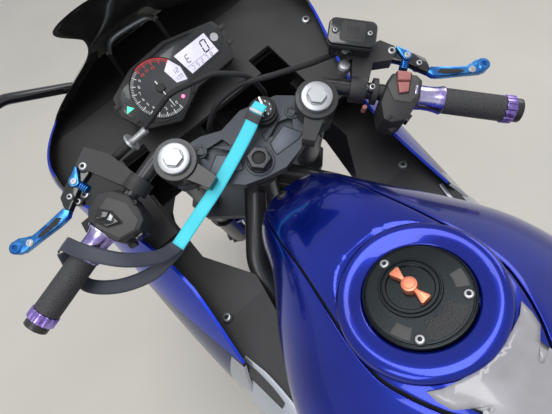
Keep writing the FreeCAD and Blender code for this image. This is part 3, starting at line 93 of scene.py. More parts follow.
def surface(name, low, high, metallic=0.0, rough=(0.35, 0.5), coat=0.0, grain_mm=1.1, relief_mm=0.3,
    bump=0.15, patch_mm=110, alpha=1.0, glow=0.0):
    """A finish whose tone drifts between two colours in patches, its grain in roughness and bump."""
    made = bpy.data.materials.new(name)
    made.use_nodes = True
    where = add_node(made, "TexCoord").outputs["Object"]
    grain = add_node(made, "TexNoise", {
        "Vector": where, "Scale": 1000 / grain_mm, "Detail": 5.0,
    }).outputs["Fac"]
    drift = add_node(made, "TexNoise", {
        "Vector": where, "Scale": 1000 / patch_mm, "Detail": 3.0,
    }).outputs["Fac"]
    share = add_node(made, "MapRange", {
        "Value": drift, "From Min": NOISE_LOW, "From Max": NOISE_HIGH,
    }).outputs["Result"]
    tone = add_node(made, "Mix", {
        "Factor": share, "A": linear(low), "B": linear(high),
    }, data_type="RGBA").outputs["Result"]
    matt = add_node(made, "MapRange", {
        "Value": grain, "From Min": NOISE_LOW, "From Max": NOISE_HIGH, "To Min": rough[0], "To Max": rough[1],
    }).outputs["Result"]
    relief = add_node(made, "Bump", {"Height": grain, "Strength": bump, "Distance": relief_mm * 0.001})
    add_node(made, "Principled BSDF", {
        "Base Color": tone, "Metallic": metallic, "Roughness": matt, "Coat Weight": coat,
        "Coat Roughness": 0.04, "Alpha": alpha, "Normal": relief.outputs["Normal"],
    })
    if glow:
        add_node(made, "Principled BSDF", {"Emission Color": tone, "Emission Strength": glow})
    return made


def dress(name, finish, rounded=False):
    """Gives a CAD node its finish and, where its real edges are broken, a fine rounding."""
    node = nodes[name]
    node.data.materials.clear()
    node.data.materials.append(finish)
    if rounded:
        node.modifiers.new("weld", "WELD").merge_threshold = 0.00001
        edge = node.modifiers.new("edge", "BEVEL")
        edge.width, edge.segments = 0.0007, 2
        edge.limit_method, edge.angle_limit = "ANGLE", math.radians(32)


# Black powder coat over tube: even, slightly orange-peeled
frame_black = surface("frame_black", "1d1d1e", "2b2b2d", metallic=0.2, rough=(0.35, 0.5), coat=0.3,
    grain_mm=1.7, bump=0.1)
# Zinc-plated steel: cool grey metal, finely scuffed
steel = surface("steel", "a2a2a4", "bcbcbd", metallic=1.0, rough=(0.25, 0.42), grain_mm=2.0, bump=0.1)

dress("frame", frame_black)
dress("swingarm", frame_black, True)
dress("rear_shock", steel)
dress("side_stand", frame_black)


# Engine: a two-cylinder block in sand-cast aluminium with dark side covers, each on a ring of screws.
# The clutch cover is on the right and the generator cover on the left.

def pose(origin, z=(0, 0, 1), x=(1, 0, 0)):
    """Local axes at a point: z as given, x as near as it can be to the one given."""
    z, x = Vector(z).normalized(), Vector(x)
    if abs(x.normalized().dot(z)) > 0.99:
        x = Vector((0, 1, 0))
    x = (x - z * x.dot(z)).normalized()
    made = Matrix((x, z.cross(x), z)).transposed().to_4x4()
    made.translation = Vector(origin)
    return made


def keep(piece, shape, finish, at=Matrix.Identity(4)):
    """Adds a shape to a piece's list, at its place and with its faces outwards."""
    shape.transform(at)
    bmesh.ops.recalc_face_normals(shape, faces=shape.faces)
    piece.append((shape, finish))


def spun(piece, profile, finish, at=Matrix.Identity(4), steps=32, wave=None):
    """A profile of (radius, height) spun about local z; a third number makes that ring a polygon."""
    shape = bmesh.new()
    verts = [shape.verts.new((p[0], 0, p[1])) for p in profile]
    edges = [shape.edges.new(pair) for pair in zip(verts, verts[1:])]
    bmesh.ops.spin(shape, geom=verts + edges, axis=(0, 0, 1), cent=(0, 0, 0), angle=2 * math.pi, steps=steps,
        use_merge=True)
    flats = {(round(p[0], 2), round(p[1], 2)): 2 * math.pi / p[2] for p in profile if len(p) > 2}
    for vert in shape.verts:
        radius, turn = math.hypot(vert.co.x, vert.co.y), math.atan2(vert.co.y, vert.co.x)
        step = flats.get((round(radius, 2), round(vert.co.z, 2)))
        grow = 1 / math.cos(turn % step - step / 2) if step else 1
        if wave and radius:
            grow = wave(turn, radius) / radius
        vert.co.x, vert.co.y = vert.co.x * grow, vert.co.y * grow
    bmesh.ops.remove_doubles(shape, verts=shape.verts, dist=0.001)
    bmesh.ops.holes_fill(shape, edges=[e for e in shape.edges if e.is_boundary])
    keep(piece, shape, finish, at)


def pressed(piece, outline, low, high, finish, at=Matrix.Identity(4), round_top=0.0, round_foot=0.0):
    """An outline in local x and y extruded from low to high, its top and foot edges bevelled."""
    shape = bmesh.new()
    foot = shape.faces.new([shape.verts.new((p[0], p[1], low)) for p in outline])
    lifted = bmesh.ops.extrude_face_region(shape, geom=[foot], use_keep_orig=True)["geom"]
    bmesh.ops.translate(shape, verts=[v for v in lifted if isinstance(v, bmesh.types.BMVert)],
        vec=(0, 0, high - low))
    for level, width in ((high, round_top), (low, round_foot)):
        rim = [e for e in shape.edges if all(abs(v.co.z - level) < 0.0001 for v in e.verts)]
        if width:
            bmesh.ops.bevel(shape, geom=rim, offset=width, offset_type="OFFSET", segments=2, profile=0.5,
                affect="EDGES", material=-1, clamp_overlap=True)
    keep(piece, shape, finish, at)


# Dead black, no gloss: real rubber sleeves, cables and printed figures, and painted shade in sockets, slots,
# holes, gaps and grooves
matt_black_and_shade = surface("matt_black_and_shade", "121214", "1d1d1e", rough=(0.6, 0.8), grain_mm=1.4)


def screw(piece, origin, axis, radius, finish, height=None):
    """A button head with a hexagon socket."""
    height = height or radius * 0.55
    hole = radius * 0.48
    at = pose(origin, axis)
    spun(piece, [
        (0, -0.5), (radius, -0.5), (radius, height * 0.45), (radius * 0.86, height * 0.85),
        (radius * 0.62, height), (hole, height, 6), (hole * 0.96, height * 0.2, 6), (0, height * 0.2),
    ], finish, at, 24)
    # The socket's floor is a dead black hexagon: painted shade.
    corners = [(hole * 1.08 * math.cos(k * math.pi / 3), hole * 1.08 * math.sin(k * math.pi / 3))
        for k in range(6)]
    pressed(piece, corners, height * 0.1, height * 0.3, matt_black_and_shade, at)


def assemble(name, piece, body="chassis", place=BIKE, bevel=0.0, angle=32, replaces=(), wall=0.0):
    """Joins a piece's shapes into one mesh at its place on the bike, and rides it on its body."""
    whole = bmesh.new()
    finishes = []
    for shape, finish in piece:
        if finish not in finishes:
            finishes.append(finish)
        for face in shape.faces:
            face.material_index = finishes.index(finish)
        mesh = bpy.data.meshes.new(name)
        shape.to_mesh(mesh)
        shape.free()
        whole.from_mesh(mesh)
        bpy.data.meshes.remove(mesh)
    whole.transform(Matrix.Scale(0.001, 4) @ place)
    mesh = bpy.data.meshes.new(name)
    whole.to_mesh(mesh)
    whole.free()
    for finish in finishes:
        mesh.materials.append(finish)
    mesh.polygons.foreach_set("use_smooth", [True] * len(mesh.polygons))
    mesh.set_sharp_from_angle(angle=math.radians(angle))
    made = bpy.data.objects.new(name, mesh)
    bpy.context.scene.collection.objects.link(made)
    if wall:
        shell = made.modifiers.new("wall", "SOLIDIFY")
        shell.thickness, shell.offset = wall * 0.001, -1
    if bevel:
        edge = made.modifiers.new("edge", "BEVEL")
        edge.width, edge.segments = bevel * 0.001, 2
        edge.limit_method, edge.angle_limit = "ANGLE", math.radians(34)
    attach(made, body)
    if replaces:
        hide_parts(*replaces)
    return made


# Black-anodised aluminium: dark metal, tight grain
dark_alloy = surface("dark_alloy", "353538", "454649", metallic=0.7, rough=(0.35, 0.5), grain_mm=0.8,
    bump=0.2)
# Bare sand-cast aluminium of the engine: grey, coarse grain
cast_grey = surface("cast_grey", "3f3f41", "525255", metallic=0.6, rough=(0.45, 0.62), grain_mm=1.4,
    bump=0.5, relief_mm=0.4)

dress("engine", cast_grey, True)
dress("engine_covers", dark_alloy, True)
cases = []
for x, z, y, radius, side, screws in ((756, 350, 132, 88, -1, 10), (800, 346, 128, 72, 1, 8)):
    at = pose((x, y * side, z), (0, side, 0), (1, 0, 0))
    spun(cases, [
        (0, 4), (radius * 0.46, 4), (radius * 0.5, 2.4), (radius * 0.52, 0.4), (radius * 0.74, 0.4),
        (radius * 0.77, 2.6), (radius * 0.8, 2.6), (radius * 0.83, 0), (radius * 0.83, -3), (0, -3),
    ], cast_grey, at, 64)
    for k in range(screws):
        a = 2 * math.pi * (k + 0.5) / screws
        spot = at @ Vector(((radius - 7) * math.cos(a), (radius - 7) * math.sin(a), 0))
        screw(cases, spot, (0, side, 0), 5.2, steel)
for side in (1, -1):
    for k in range(4):
        z = 470 + 40 * k
        x = 722 + 0.19 * (z - 440)
        pressed(cases, [(x + 10, z - 2.5), (x + 128, z - 4.5), (x + 128, z + 0.5), (x + 10, z + 2.5)], 91, 97,
            cast_grey, Matrix(((1, 0, 0, 0), (0, 0, side, 0), (0, 1, 0, 0), (0, 0, 0, 1))), round_top=1)
    for x, z in ((776, 672), (884, 650), (884, 700), (790, 712)):
        screw(cases, (x, 98 * side, z), (0, side, 0), 6, steel)
assemble("engine_details", cases, bevel=0.4)


# Radiator: a brazed aluminium core of flat tubes with fins between them, and a plastic tank at each end.

# Moulded black ABS with a spark-eroded grain: grey and soft where the light grazes it
black_plastic = surface("black_plastic", "1d1d1e", "29292a", rough=(0.48, 0.64), grain_mm=0.7, bump=0.35,
    relief_mm=0.2)
# Thin aluminium fins, dulled by heat
radiator_fins = surface("radiator_fins", "3a3c3e", "4a4c4f", metallic=0.7, rough=(0.45, 0.6), grain_mm=1.5,
    bump=0.3)

dress("radiator", black_plastic, True)
CORE_TUBES, TUBE_PITCH, FINS, CORE_WIDTH, CORE_NORMAL = 25, 7.3, 34, 268, (0.994, 0, 0.106)
core_face = []
for k in range(CORE_TUBES):
    z = 460 + TUBE_PITCH * k
    x = 1030.5 - (z - 452) * 20 / 188
    slat = pose((x, 0, z), CORE_NORMAL, (0, 1, 0))
    pressed(core_face, [(-137, -1.1), (137, -1.1), (137, 1.1), (-137, 1.1)], -1, 3, radiator_fins, slat)
for k in range(FINS):
    y = -CORE_WIDTH / 2 + CORE_WIDTH * k / (FINS - 1)
    rib = pose((1019.5, y, 546), CORE_NORMAL, (0, 1, 0))
    pressed(core_face, [(-0.5, -92), (0.5, -92), (0.5, 92), (-0.5, 92)], -1, 2, radiator_fins, rib)
assemble("radiator_core", core_face)


# Exhaust: two bent stainless header tubes into one silencer, a black can with a turned end and a clamp.

# Turned aluminium: pale, with a satin ring of light
bright_alloy = surface("bright_alloy", "a6a8ab", "b4b6b9", metallic=0.85, rough=(0.34, 0.5), grain_mm=0.7,
    bump=0.12, relief_mm=0.1)
# Stainless header tube, straw-brown where it runs hot
hot_steel = surface("hot_steel", "999081", "aaa6a2", metallic=1.0, rough=(0.28, 0.45), grain_mm=3.3,
    bump=0.1, patch_mm=71)

dress("exhaust_header", hot_steel)
dress("silencer", frame_black, True)
CAN_FRONT, CAN_REAR = Vector((345, -204, 322)), Vector((40, -216, 430))
muffler = []
can_axis = (CAN_REAR - CAN_FRONT).normalized()
tip = pose(CAN_REAR, can_axis)
spun(muffler, [(0, -2), (54, -2), (57, -1), (57, 5), (53, 9), (34, 12), (31, 12)], bright_alloy, tip, 64)
spun(muffler, [(31, 12), (32, 22), (31, 24), (26, 24), (25, 20), (25, 9), (0, 9)], steel, tip, 48)
# A dead black disc inside the outlet: painted shade in its hollow.
spun(muffler, [(0, 9.4), (24, 9.4), (24, 9.8), (0, 9.8)], matt_black_and_shade, tip, 40)
for share in (0.16, 0.84):
    band = pose(CAN_FRONT.lerp(CAN_REAR, share), can_axis)
    spun(muffler, [(54, -7), (56.4, -6.4), (56.4, 6.4), (54, 7)], steel, band, 64)
for k in range(6):
    a = math.pi * (k + 0.5) / 3
    screw(muffler, tip @ Vector((46 * math.cos(a), 46 * math.sin(a), 9.6)), can_axis, 3, steel)
assemble("silencer_end", muffler)


# Wheels: ten-spoke cast aluminium under blue powder coat, with valve stems and bearing caps.

# Oiled roller chain steel: brown-grey metal
chain_steel = surface("chain_steel", "7c7361", "99958b", metallic=0.95, rough=(0.35, 0.5), grain_mm=2.0,
    bump=0.15)
# Blue powder coat on cast wheels
wheel_blue = surface("wheel_blue", "0d30a6", "123fbc", metallic=0.5, rough=(0.25, 0.35), coat=0.8,
    grain_mm=0.8, bump=0.05)

# The steering's own frame, in millimetres: x forward, y left, z up the stem from the top clamp's face
BARS = Matrix((
    (0.869163, 0.254476, -0.424026, 422.918),
    (-0.198112, 0.964804, 0.172932, -7.737),
    (0.453109, -0.066301, 0.888986, 911.276),
    (0, 0, 0, 1),
))
for end in ("front", "rear"):
    dress(end + "_wheel", wheel_blue, True)
    dress(end + "_disc", steel)
dress("rear_sprocket", chain_steel)
FRONT_HUB, REAR_HUB = Matrix.Translation((37.7, 0, -715.3)), Matrix.Translation((0, 0, 314))
ALONG_AXLE = pose((0, 0, 0), (0, 1, 0), (1, 0, 0))
for name, body, place, hub, disc_y, disc_r, holes in (
    ("front", "front_wheel_set", BARS, FRONT_HUB, -62, 149, 30),
    ("rear", "rear_wheel_set", BIKE, REAR_HUB, -87, 110, 24),
):
    trim = []
    axle = hub @ ALONG_AXLE
    spun(trim, [(17, 0), (21, 0.5), (24, 2), (24, -3), (17, -3)], dark_alloy,
        axle @ Matrix.Translation((0, 0, 60 if name == "front" else 88)), 32)
    # Dead black plugs fill the disc's holes: painted shade in place of the openings.
    for k in range(holes):
        for ring_radius, turn in ((disc_r - 11, 0), (disc_r - 22, 0.5)):
            a = 2 * math.pi * (k + turn) / holes
            spot = Matrix.Translation((ring_radius * math.cos(a), ring_radius * math.sin(a), disc_y))
            spun(trim, [(0, -2.5), (3.6, -2.5), (3.6, 2.5), (0, 2.5)], matt_black_and_shade, axle @ spot, 10)
    for k in range(6):
        a = 2 * math.pi * (k + 0.5) / 6
        out = axle @ Vector((36 * math.cos(a), 36 * math.sin(a), disc_y - 2.2))
        screw(trim, out, hub.to_3x3() @ Vector((0, -1, 0)), 5, dark_alloy)
    spun(trim, [(0, 0), (4, 0), (4, 22), (3.4, 23), (3.4, 33), (0, 33)], black_plastic,
        axle @ pose((-193, 0, 18), (1, 0, 0.1)), 16)
    assemble(name + "_wheel_trim", trim, body, place)


# Tyres: black radial rubber, 110/70-17 in front and 140/70-17 behind, with slanting rain grooves moulded
# a few millimetres deep. The carcass is spun about the axle and its grooves are sunk in.

# Carbon-black rubber: matt, dusty in patches
tyre_rubber = surface("tyre_rubber", "1d1d1e", "30302f", rough=(0.62, 0.82), grain_mm=1.1, bump=0.5)

GROOVE_DEPTH, TREAD_STEPS, GROOVE_EVERY, SLANT = 3.4, 108, 9, math.radians(15)
RIM_RADIUS, BEAD_RADIUS = 225.6, 216.2


def groove_tyre(name, node, body, place, hub, radius, width, bead):
    """A spun carcass whose tread faces are slanted, and every ninth of them sunk as a groove."""
    crown, half = radius - width / 2, width / 2
    profile = []
    for k in range(33):
        a = math.radians(-152 + 304 * k / 32)
        r, y = crown + half * math.cos(a), half * math.sin(a)
        if r > RIM_RADIUS or abs(y) < bead:
            profile.append((max(r, BEAD_RADIUS), y))
    shape = bmesh.new()
    verts = [shape.verts.new((r, 0, y)) for r, y in profile]
    edges = [shape.edges.new(pair) for pair in zip(verts, verts[1:] + verts[:1])]
    bmesh.ops.spin(shape, geom=verts + edges, axis=(0, 0, 1), cent=(0, 0, 0), angle=2 * math.pi,
        steps=TREAD_STEPS, use_merge=True)
    sunk = []
    shape.normal_update()
    for face in shape.faces:
        spot = face.calc_center_median()
        across = abs(spot.z) / half
        column = round(math.atan2(spot.y, spot.x) / (2 * math.pi) * TREAD_STEPS - 0.5) % TREAD_STEPS
        shift = 0 if spot.z > 0 else 4
        on_tread = 0.12 < across < 0.84 and math.hypot(spot.x, spot.y) > crown
        if on_tread and (column + shift) % GROOVE_EVERY == 0:
            sunk.append(face)
    for vert in shape.verts:
        on_tread = math.hypot(vert.co.x, vert.co.y) > crown
        lean = SLANT * (abs(vert.co.z) / half) ** 1.2 if on_tread else SLANT
        vert.co = Matrix.Rotation(lean, 3, "Z") @ vert.co
    bmesh.ops.recalc_face_normals(shape, faces=shape.faces)
    bmesh.ops.inset_region(shape, faces=sunk, thickness=1.2, depth=-GROOVE_DEPTH, use_even_offset=True)
    piece = []
    keep(piece, shape, tyre_rubber, hub @ ALONG_AXLE)
    assemble(name, piece, body, place, angle=35, replaces=[node])


groove_tyre("front_tread", "front_tyre", "front_wheel_set", BARS, FRONT_HUB, 293, 110, 41)
groove_tyre("rear_tread", "rear_tyre", "rear_wheel_set", BIKE, REAR_HUB, 314, 140, 55)


# Drive chain: a 520 roller chain of pressed side plates on pins, one link every 15.875 mm.
# It is a fixed loop round both sprockets.

dress("drive_chain", chain_steel)
PITCH, CHAIN_Y, PLATE_FOOT = 15.875, 90, 6.6
REAR_TEETH, FRONT_TEETH = 43, 14
REAR_R, FRONT_R = (PITCH / (2 * math.sin(math.pi / teeth)) for teeth in (REAR_TEETH, FRONT_TEETH))
rear_centre, front_centre = Vector((0, 0, 314)), Vector((640, 0, 372))
span = front_centre - rear_centre
tilt = math.atan2(span.z, span.x)
spread = math.acos((REAR_R - FRONT_R) / span.length)
straight = math.sqrt(span.length ** 2 - (REAR_R - FRONT_R) ** 2)
front_arc, rear_arc = FRONT_R * 2 * spread, REAR_R * (2 * math.pi - 2 * spread)
loop = 2 * straight + front_arc + rear_arc
LINKS = round(loop / PITCH)


def on_chain(run):
    """Point on the pitch line at a length from where the top run leaves the rear sprocket."""
    def rim(centre, radius, angle):
        return centre + Vector((math.cos(angle), 0, math.sin(angle))) * radius
    if run < straight:
        return rim(rear_centre, REAR_R, tilt + spread).lerp(rim(front_centre, FRONT_R, tilt + spread),
            run / straight)
    run -= straight
    if run < front_arc:
        return rim(front_centre, FRONT_R, tilt + spread - run / FRONT_R)
    run -= front_arc
    if run < straight:
        return rim(front_centre, FRONT_R, tilt - spread).lerp(rim(rear_centre, REAR_R, tilt - spread),
            run / straight)
    return rim(rear_centre, REAR_R, tilt - spread - (run - straight) / REAR_R)


links = []
for k in range(LINKS):
    here, after = on_chain(loop * k / LINKS), on_chain(loop * ((k + 1) % LINKS) / LINKS)
    along_link = (after - here).normalized()
    plate_shape = [
        (0, 6.6), (PITCH / 2, 5), (PITCH, 6.6), (PITCH + 6, 2.6), (PITCH + 6, -2.6), (PITCH, -6.6),
        (PITCH / 2, -5), (0, -6.6), (-6, -2.6), (-6, 2.6),
    ]
    for side in (1, -1):
        out = 8.2 if k % 2 else 7.2
        at = pose(here + Vector((0, CHAIN_Y + side * PLATE_FOOT, 0)), (0, side, 0), along_link)
        pressed(links, plate_shape, 0, out - PLATE_FOOT, chain_steel, at)
        spun(links, [(0, 0), (3, 0), (3, 2.4), (0, 2.4)], steel, at, 8)
assemble("chain_links", links)


# Brakes and footrests: black anodised calipers held by plated screws, and cast rests with rubber pegs.

def rod(piece, points, radius, finish, at=Matrix.Identity(4), sides=4):
    """A round section along a NURBS curve near the given points."""
    curve = bpy.data.curves.new("rod", "CURVE")
    curve.dimensions, curve.use_fill_caps = "3D", True
    curve.bevel_depth, curve.bevel_resolution, curve.resolution_u = radius, sides, 8
    line = curve.splines.new("NURBS")
    line.points.add(len(points) - 1)
    for spot, place in zip(line.points, points):
        spot.co = (*place, 1)
    line.order_u, line.use_endpoint_u = 3, True
    holder = bpy.data.objects.new("rod", curve)
    mesh = bpy.data.meshes.new_from_object(holder)
    shape = bmesh.new()
    shape.from_mesh(mesh)
    bmesh.ops.remove_doubles(shape, verts=shape.verts, dist=0.001)
    bpy.data.objects.remove(holder)
    bpy.data.curves.remove(curve)
    bpy.data.meshes.remove(mesh)
    keep(piece, shape, finish, at)


# Sand-cast aluminium under slate-grey paint: dull and lightly pitted
clamp_grey = surface("clamp_grey", "3c4046", "4b5057", metallic=0.45, rough=(0.42, 0.56), grain_mm=0.6,
    bump=0.35, relief_mm=0.2)

for end in ("front", "rear"):
    dress(end + "_caliper", dark_alloy, True)
for node in ("left_footrest", "right_footrest", "passenger_footrests"):
    dress(node, clamp_grey, node != "passenger_footrests")
grips = []
for side in (1, -1):
    rod(grips, [(455, 150 * side, 365.4), (455, 190 * side, 367), (455, 228 * side, 368.8)], 13.4, matt_black_and_shade)
    for k in range(7):
        spun(grips, [(13, -1.6), (15, -1.2), (15, 1.2), (13, 1.6)], matt_black_and_shade,
            pose((455, side * (160 + 10 * k), 365.8 + 0.4 * k), (0, side, 0.04)), 20)
    rod(grips, [(235, 150 * side, 505.2), (235, 185 * side, 506.5), (235, 222 * side, 507.9)], 12, matt_black_and_shade)
assemble("footrest_rubbers", grips)
for end, place, body, spots in (
    ("front", BARS, "steering", [(-60, -98.4, -615), (-10, -98.4, -590), (-30, -98.4, -570)]),
    ("rear", BIKE, "chassis", [(20, -116.4, 345), (50, -116.4, 420), (0, -116.4, 428)]),
):
    clamp_screws = []
    for spot in spots:
        screw(clamp_screws, spot, (0, -1, 0), 6, steel)
    assemble(end + "_caliper_screws", clamp_screws, body, place)


# Fuel tank: a pressed steel shell, painted, seen as one broad middle panel and two side panels
# with a groove between them. Each panel is laid along the tank's sections and given its thickness.

def smooth(points, steps=8):
    """Points on a soft curve through the given ones."""
    points = [Vector(p) for p in points]
    run = [points[0] * 2 - points[1]] + points + [points[-1] * 2 - points[-2]]
    made = []
    for a, b, c, d in zip(run, run[1:], run[2:], run[3:]):
        for k in range(steps):
            t = k / steps
            square = (a * 2 - b * 5 + c * 4 - d) * t ** 2
            made.append((b * 2 + (c - a) * t + square + (b * 3 - a - c * 3 + d) * t ** 3) * 0.5)
    return made + [points[-1]]


def shrink(outline, amount):
    """The closed outline with each side moved inward."""
    count = len(outline)
    area = sum(outline[i - 1][0] * outline[i][1] - outline[i][0] * outline[i - 1][1] for i in range(count))
    made = []
    for i in range(count):
        before, here, after = (Vector(outline[j % count][:2]) for j in (i - 1, i, i + 1))
        one, two = (here - before).normalized(), (after - here).normalized()
        normal = Vector((-one.y - two.y, one.x + two.x)).normalized()
        reach = amount / max(0.45, normal.dot(Vector((-one.y, one.x))))
        made.append(tuple(here + normal * (reach if area > 0 else -reach)))
    return made


def moulded(piece, across, along, lay, finish, at=Matrix.Identity(4)):
    """A grid laid on a surface: lay(u, v) gives the point for shares across and along it."""
    shape = bmesh.new()
    bmesh.ops.create_grid(shape, x_segments=across, y_segments=along, size=0.5)
    for vert in shape.verts:
        vert.co = lay(vert.co.x + 0.5, vert.co.y + 0.5)
    bmesh.ops.remove_doubles(shape, verts=shape.verts, dist=0.001)
    keep(piece, shape, finish, at)


# Metallic blue two-pack paint under clear lacquer: deep in the shade, wet along every edge
blue_paint = surface("blue_paint", "051b8a", "0927a0", metallic=0.8, rough=(0.2, 0.26), coat=0.6,
    grain_mm=0.4, bump=0.02, relief_mm=0.1)

TANK = [
    (486, 785, 50, 815, 68, 840, 44, 852), (530, 775, 66, 830, 96, 884, 48, 902),
    (600, 775, 82, 858, 130, 946, 56, 968), (690, 775, 92, 880, 165, 978, 68, 995),
    (770, 776, 92, 888, 160, 980, 72, 991), (850, 780, 84, 882, 128, 964, 70, 978),
    (920, 790, 62, 872, 86, 940, 60, 954), (980, 806, 44, 862, 64, 908, 46, 920),
    (1006, 836, 24, 866, 33, 892, 26, 899),
]
SEAM = [(486, 6), (560, 12), (620, 22), (666, 38), (690, 53), (712, 64), (736, 72), (770, 72), (820, 65),
    (870, 58), (930, 53), (975, 44), (1006, 26)]


def read_table(table, x):
    """Every column of the table at x, on a soft curve through its rows."""
    k = max(0, min(len(table) - 2, sum(row[0] <= x for row in table) - 1))
    low, high = table[k], table[k + 1]
    before, after = table[max(k - 1, 0)], table[min(k + 2, len(table) - 1)]
    t = (x - low[0]) / (high[0] - low[0])
    width = high[0] - low[0]
    made = []
    for i in range(1, len(low)):
        m0 = (high[i] - before[i]) / (high[0] - before[0]) * width
        m1 = (after[i] - low[i]) / (after[0] - low[0]) * width
        made.append(low[i] * (2 * t ** 3 - 3 * t ** 2 + 1) + m0 * (t ** 3 - 2 * t ** 2 + t)
            + high[i] * (3 * t ** 2 - 2 * t ** 3) + m1 * (t ** 3 - t ** 2))
    return made


def tank_section(x):
    """Half section from the top middle down to the lower edge, closely spaced."""
    low_z, low_y, wide_z, wide_y, shoulder_z, shoulder_y, top_z = read_table(TANK, x)
    half = [(-shoulder_y, shoulder_z), (0, top_z), (shoulder_y, shoulder_z), (wide_y, wide_z), (low_y, low_z)]
    return smooth([(x, y, z) for y, z in half], 24)[24:]


def along(line, share):
    """Point at a share of the line's length."""
    lengths = [(b - a).length for a, b in zip(line, line[1:])]
    left = share * sum(lengths)
    for a, b, length in zip(line, line[1:], lengths):
        if left <= length:
            return a.lerp(b, left / length)
        left -= length
    return line[-1].copy()


def share_at(line, y):
    """Share of the half section's length at which it is so wide."""
    total = sum((b - a).length for a, b in zip(line, line[1:]))
    run = 0.0
    for a, b in zip(line, line[1:]):
        if b.y >= y:
            return (run + (b - a).length * (y - a.y) / max(b.y - a.y, 1e-6)) / total
        run += (b - a).length
    return 1.0


CAP = pose((763.8, 0, 990.5), (math.sin(math.radians(8)), 0, math.cos(math.radians(8))))
CAP_BACK = CAP.inverted()
WELL_FLOOR, WELL_EDGE, WELL_DEPTH = 62, 84, 9


def settle(point):
    """The tank top sinks under the filler, and dips around the front bolt."""
    local = CAP_BACK @ point
    reach = math.hypot(local.x, local.y)
    if reach < WELL_EDGE and point.z > 900:
        slope = max(0, reach - WELL_FLOOR) * 0.75
        point = CAP @ Vector((local.x, local.y, min(local.z, slope - WELL_DEPTH)))
    dip = math.hypot((point.x - 990) / 30, (point.y - 8) / 30)
    if dip < 1:
        point = point - Vector((0.4, 0, 1)) * 5 * (1 - dip * dip)
    return point


FRONT, REAR, ROWS, COLUMNS, GROOVE = 1005, 487, 130, 44, 0.006


def tank_panel(name, seam_first, side):
    """One panel: from the middle to the seam, or from the seam down to the lower edge."""
    sections = []
    for k in range(ROWS + 1):
        x = REAR + (FRONT - REAR) * k / ROWS
        line = tank_section(x)
        seam = share_at(line, read_table(SEAM, x)[0])
        start, end = (seam + GROOVE, 1.0) if seam_first else (0.0, seam - GROOVE)
        sections.append((line, start, end))

    def lay(u, v):
        line, start, end = sections[round(v * ROWS)]
        u = u if seam_first else abs(u * 2 - 1)
        point = settle(along(line, start + (end - start) * u))
        return Vector((point.x, point.y * side, point.z))

    def lay_both_sides(u, v):
        point = lay(u, v)
        return Vector((point.x, -point.y if u < 0.5 else point.y, point.z))

    piece = []
    moulded(piece, COLUMNS, ROWS, lay if seam_first else lay_both_sides, blue_paint)
    assemble(name, piece, bevel=0.8, angle=60, wall=2.8)


tank_panel("tank_middle_panel", False, 1)
tank_panel("tank_left_panel", True, 1)
tank_panel("tank_right_panel", True, -1)
CORE_REAR, CORE_LENGTH, CORE_ROWS, CORE_GAP, FLOOR_LENGTH = 489, 512, 26, 3.6, 517
core_sections = []
for k in range(CORE_ROWS + 1):
    line = tank_section(CORE_REAR + CORE_LENGTH * k / CORE_ROWS)
    core_sections.append([
        settle(p - Vector((0, CORE_GAP if p.y > CORE_GAP else 0, CORE_GAP))) for p in line
    ])


def lay_core(u, v):
    """The tank's own wall, a gap inside the panels, dead black so that it fills the grooves between them with
    painted shade.
    """
    half = core_sections[round(v * CORE_ROWS)]
    point = along(half, abs(u * 2 - 1))
    return Vector((point.x, -point.y if u < 0.5 else point.y, point.z))


# Dead black core under the panels: painted shade in the grooves between them.
core = []
moulded(core, 60, CORE_ROWS, lay_core, matt_black_and_shade)
rear_line = [(p.y, p.z) for p in tank_section(CORE_REAR) if p.y >= 0]
rear_wall = rear_line + [(-y, z) for y, z in reversed(rear_line[1:])]
pressed(core, shrink(rear_wall, 3), 0, 3, blue_paint, pose((488, 0, 0), (1, 0, 0), (0, 1, 0)))


def lay_floor(u, v):
    """The pressed floor between the tank's lower edges."""
    x = REAR + FLOOR_LENGTH * v
    low_z, low_y = read_table(TANK, x)[:2]
    return Vector((x, (u * 2 - 1) * (low_y - 2), low_z + 2))


moulded(core, 8, CORE_ROWS, lay_floor, matt_black_and_shade)
assemble("tank_core", core, angle=50, replaces=["fuel_tank"], wall=2)


# Filler: a painted dish pressed into the tank, a machined black ring on three screws, and a copper
# bow knob that turns in it. All are spun or extruded, as they are turned or milled in fact.

# Grey-black textured nylon of the switch faces
pod_grey = surface("pod_grey", "3c3a3a", "454442", rough=(0.5, 0.62), grain_mm=0.6, bump=0.3)
# Copper-coloured anodising, satin
copper = surface("copper", "e18161", "ed997c", metallic=0.75, rough=(0.3, 0.42), grain_mm=0.8, bump=0.08,
    patch_mm=25)


def knurled(name, low, high, pitch_mm, metallic=0.0, rough=0.6):
    """A finish of small raised cells, darker between them: painted shade in the grooves of the grip rubber,
    the weave's own pattern on the carbon film.
    """
    made = bpy.data.materials.new(name)
    made.use_nodes = True
    where = add_node(made, "TexCoord").outputs["Object"]
    cells = add_node(made, "TexVoronoi", {"Vector": where, "Scale": 1000 / pitch_mm}).outputs["Distance"]
    # Darker from each cell's middle to its border: painted shade in the grip's grooves, the weave's pattern
    # on the carbon.
    share = add_node(made, "MapRange", {
        "Value": cells, "From Min": 0.2, "From Max": 0.7, "To Min": 1.0, "To Max": 0.0,
    }).outputs["Result"]
    tone = add_node(made, "Mix", {
        "Factor": share, "A": linear(low), "B": linear(high),
    }, data_type="RGBA").outputs["Result"]
    wear = add_node(made, "TexNoise", {"Vector": where, "Scale": 60.0}).outputs["Fac"]
    matt = add_node(made, "MapRange", {
        "Value": wear, "To Min": rough - 0.1, "To Max": rough + 0.1,
    }).outputs["Result"]
    relief = add_node(made, "Bump", {"Height": cells, "Strength": 0.8, "Distance": 0.0008})
    add_node(made, "Principled BSDF", {
        "Base Color": tone, "Metallic": metallic, "Roughness": matt, "Normal": relief.outputs["Normal"],
    })
    return made


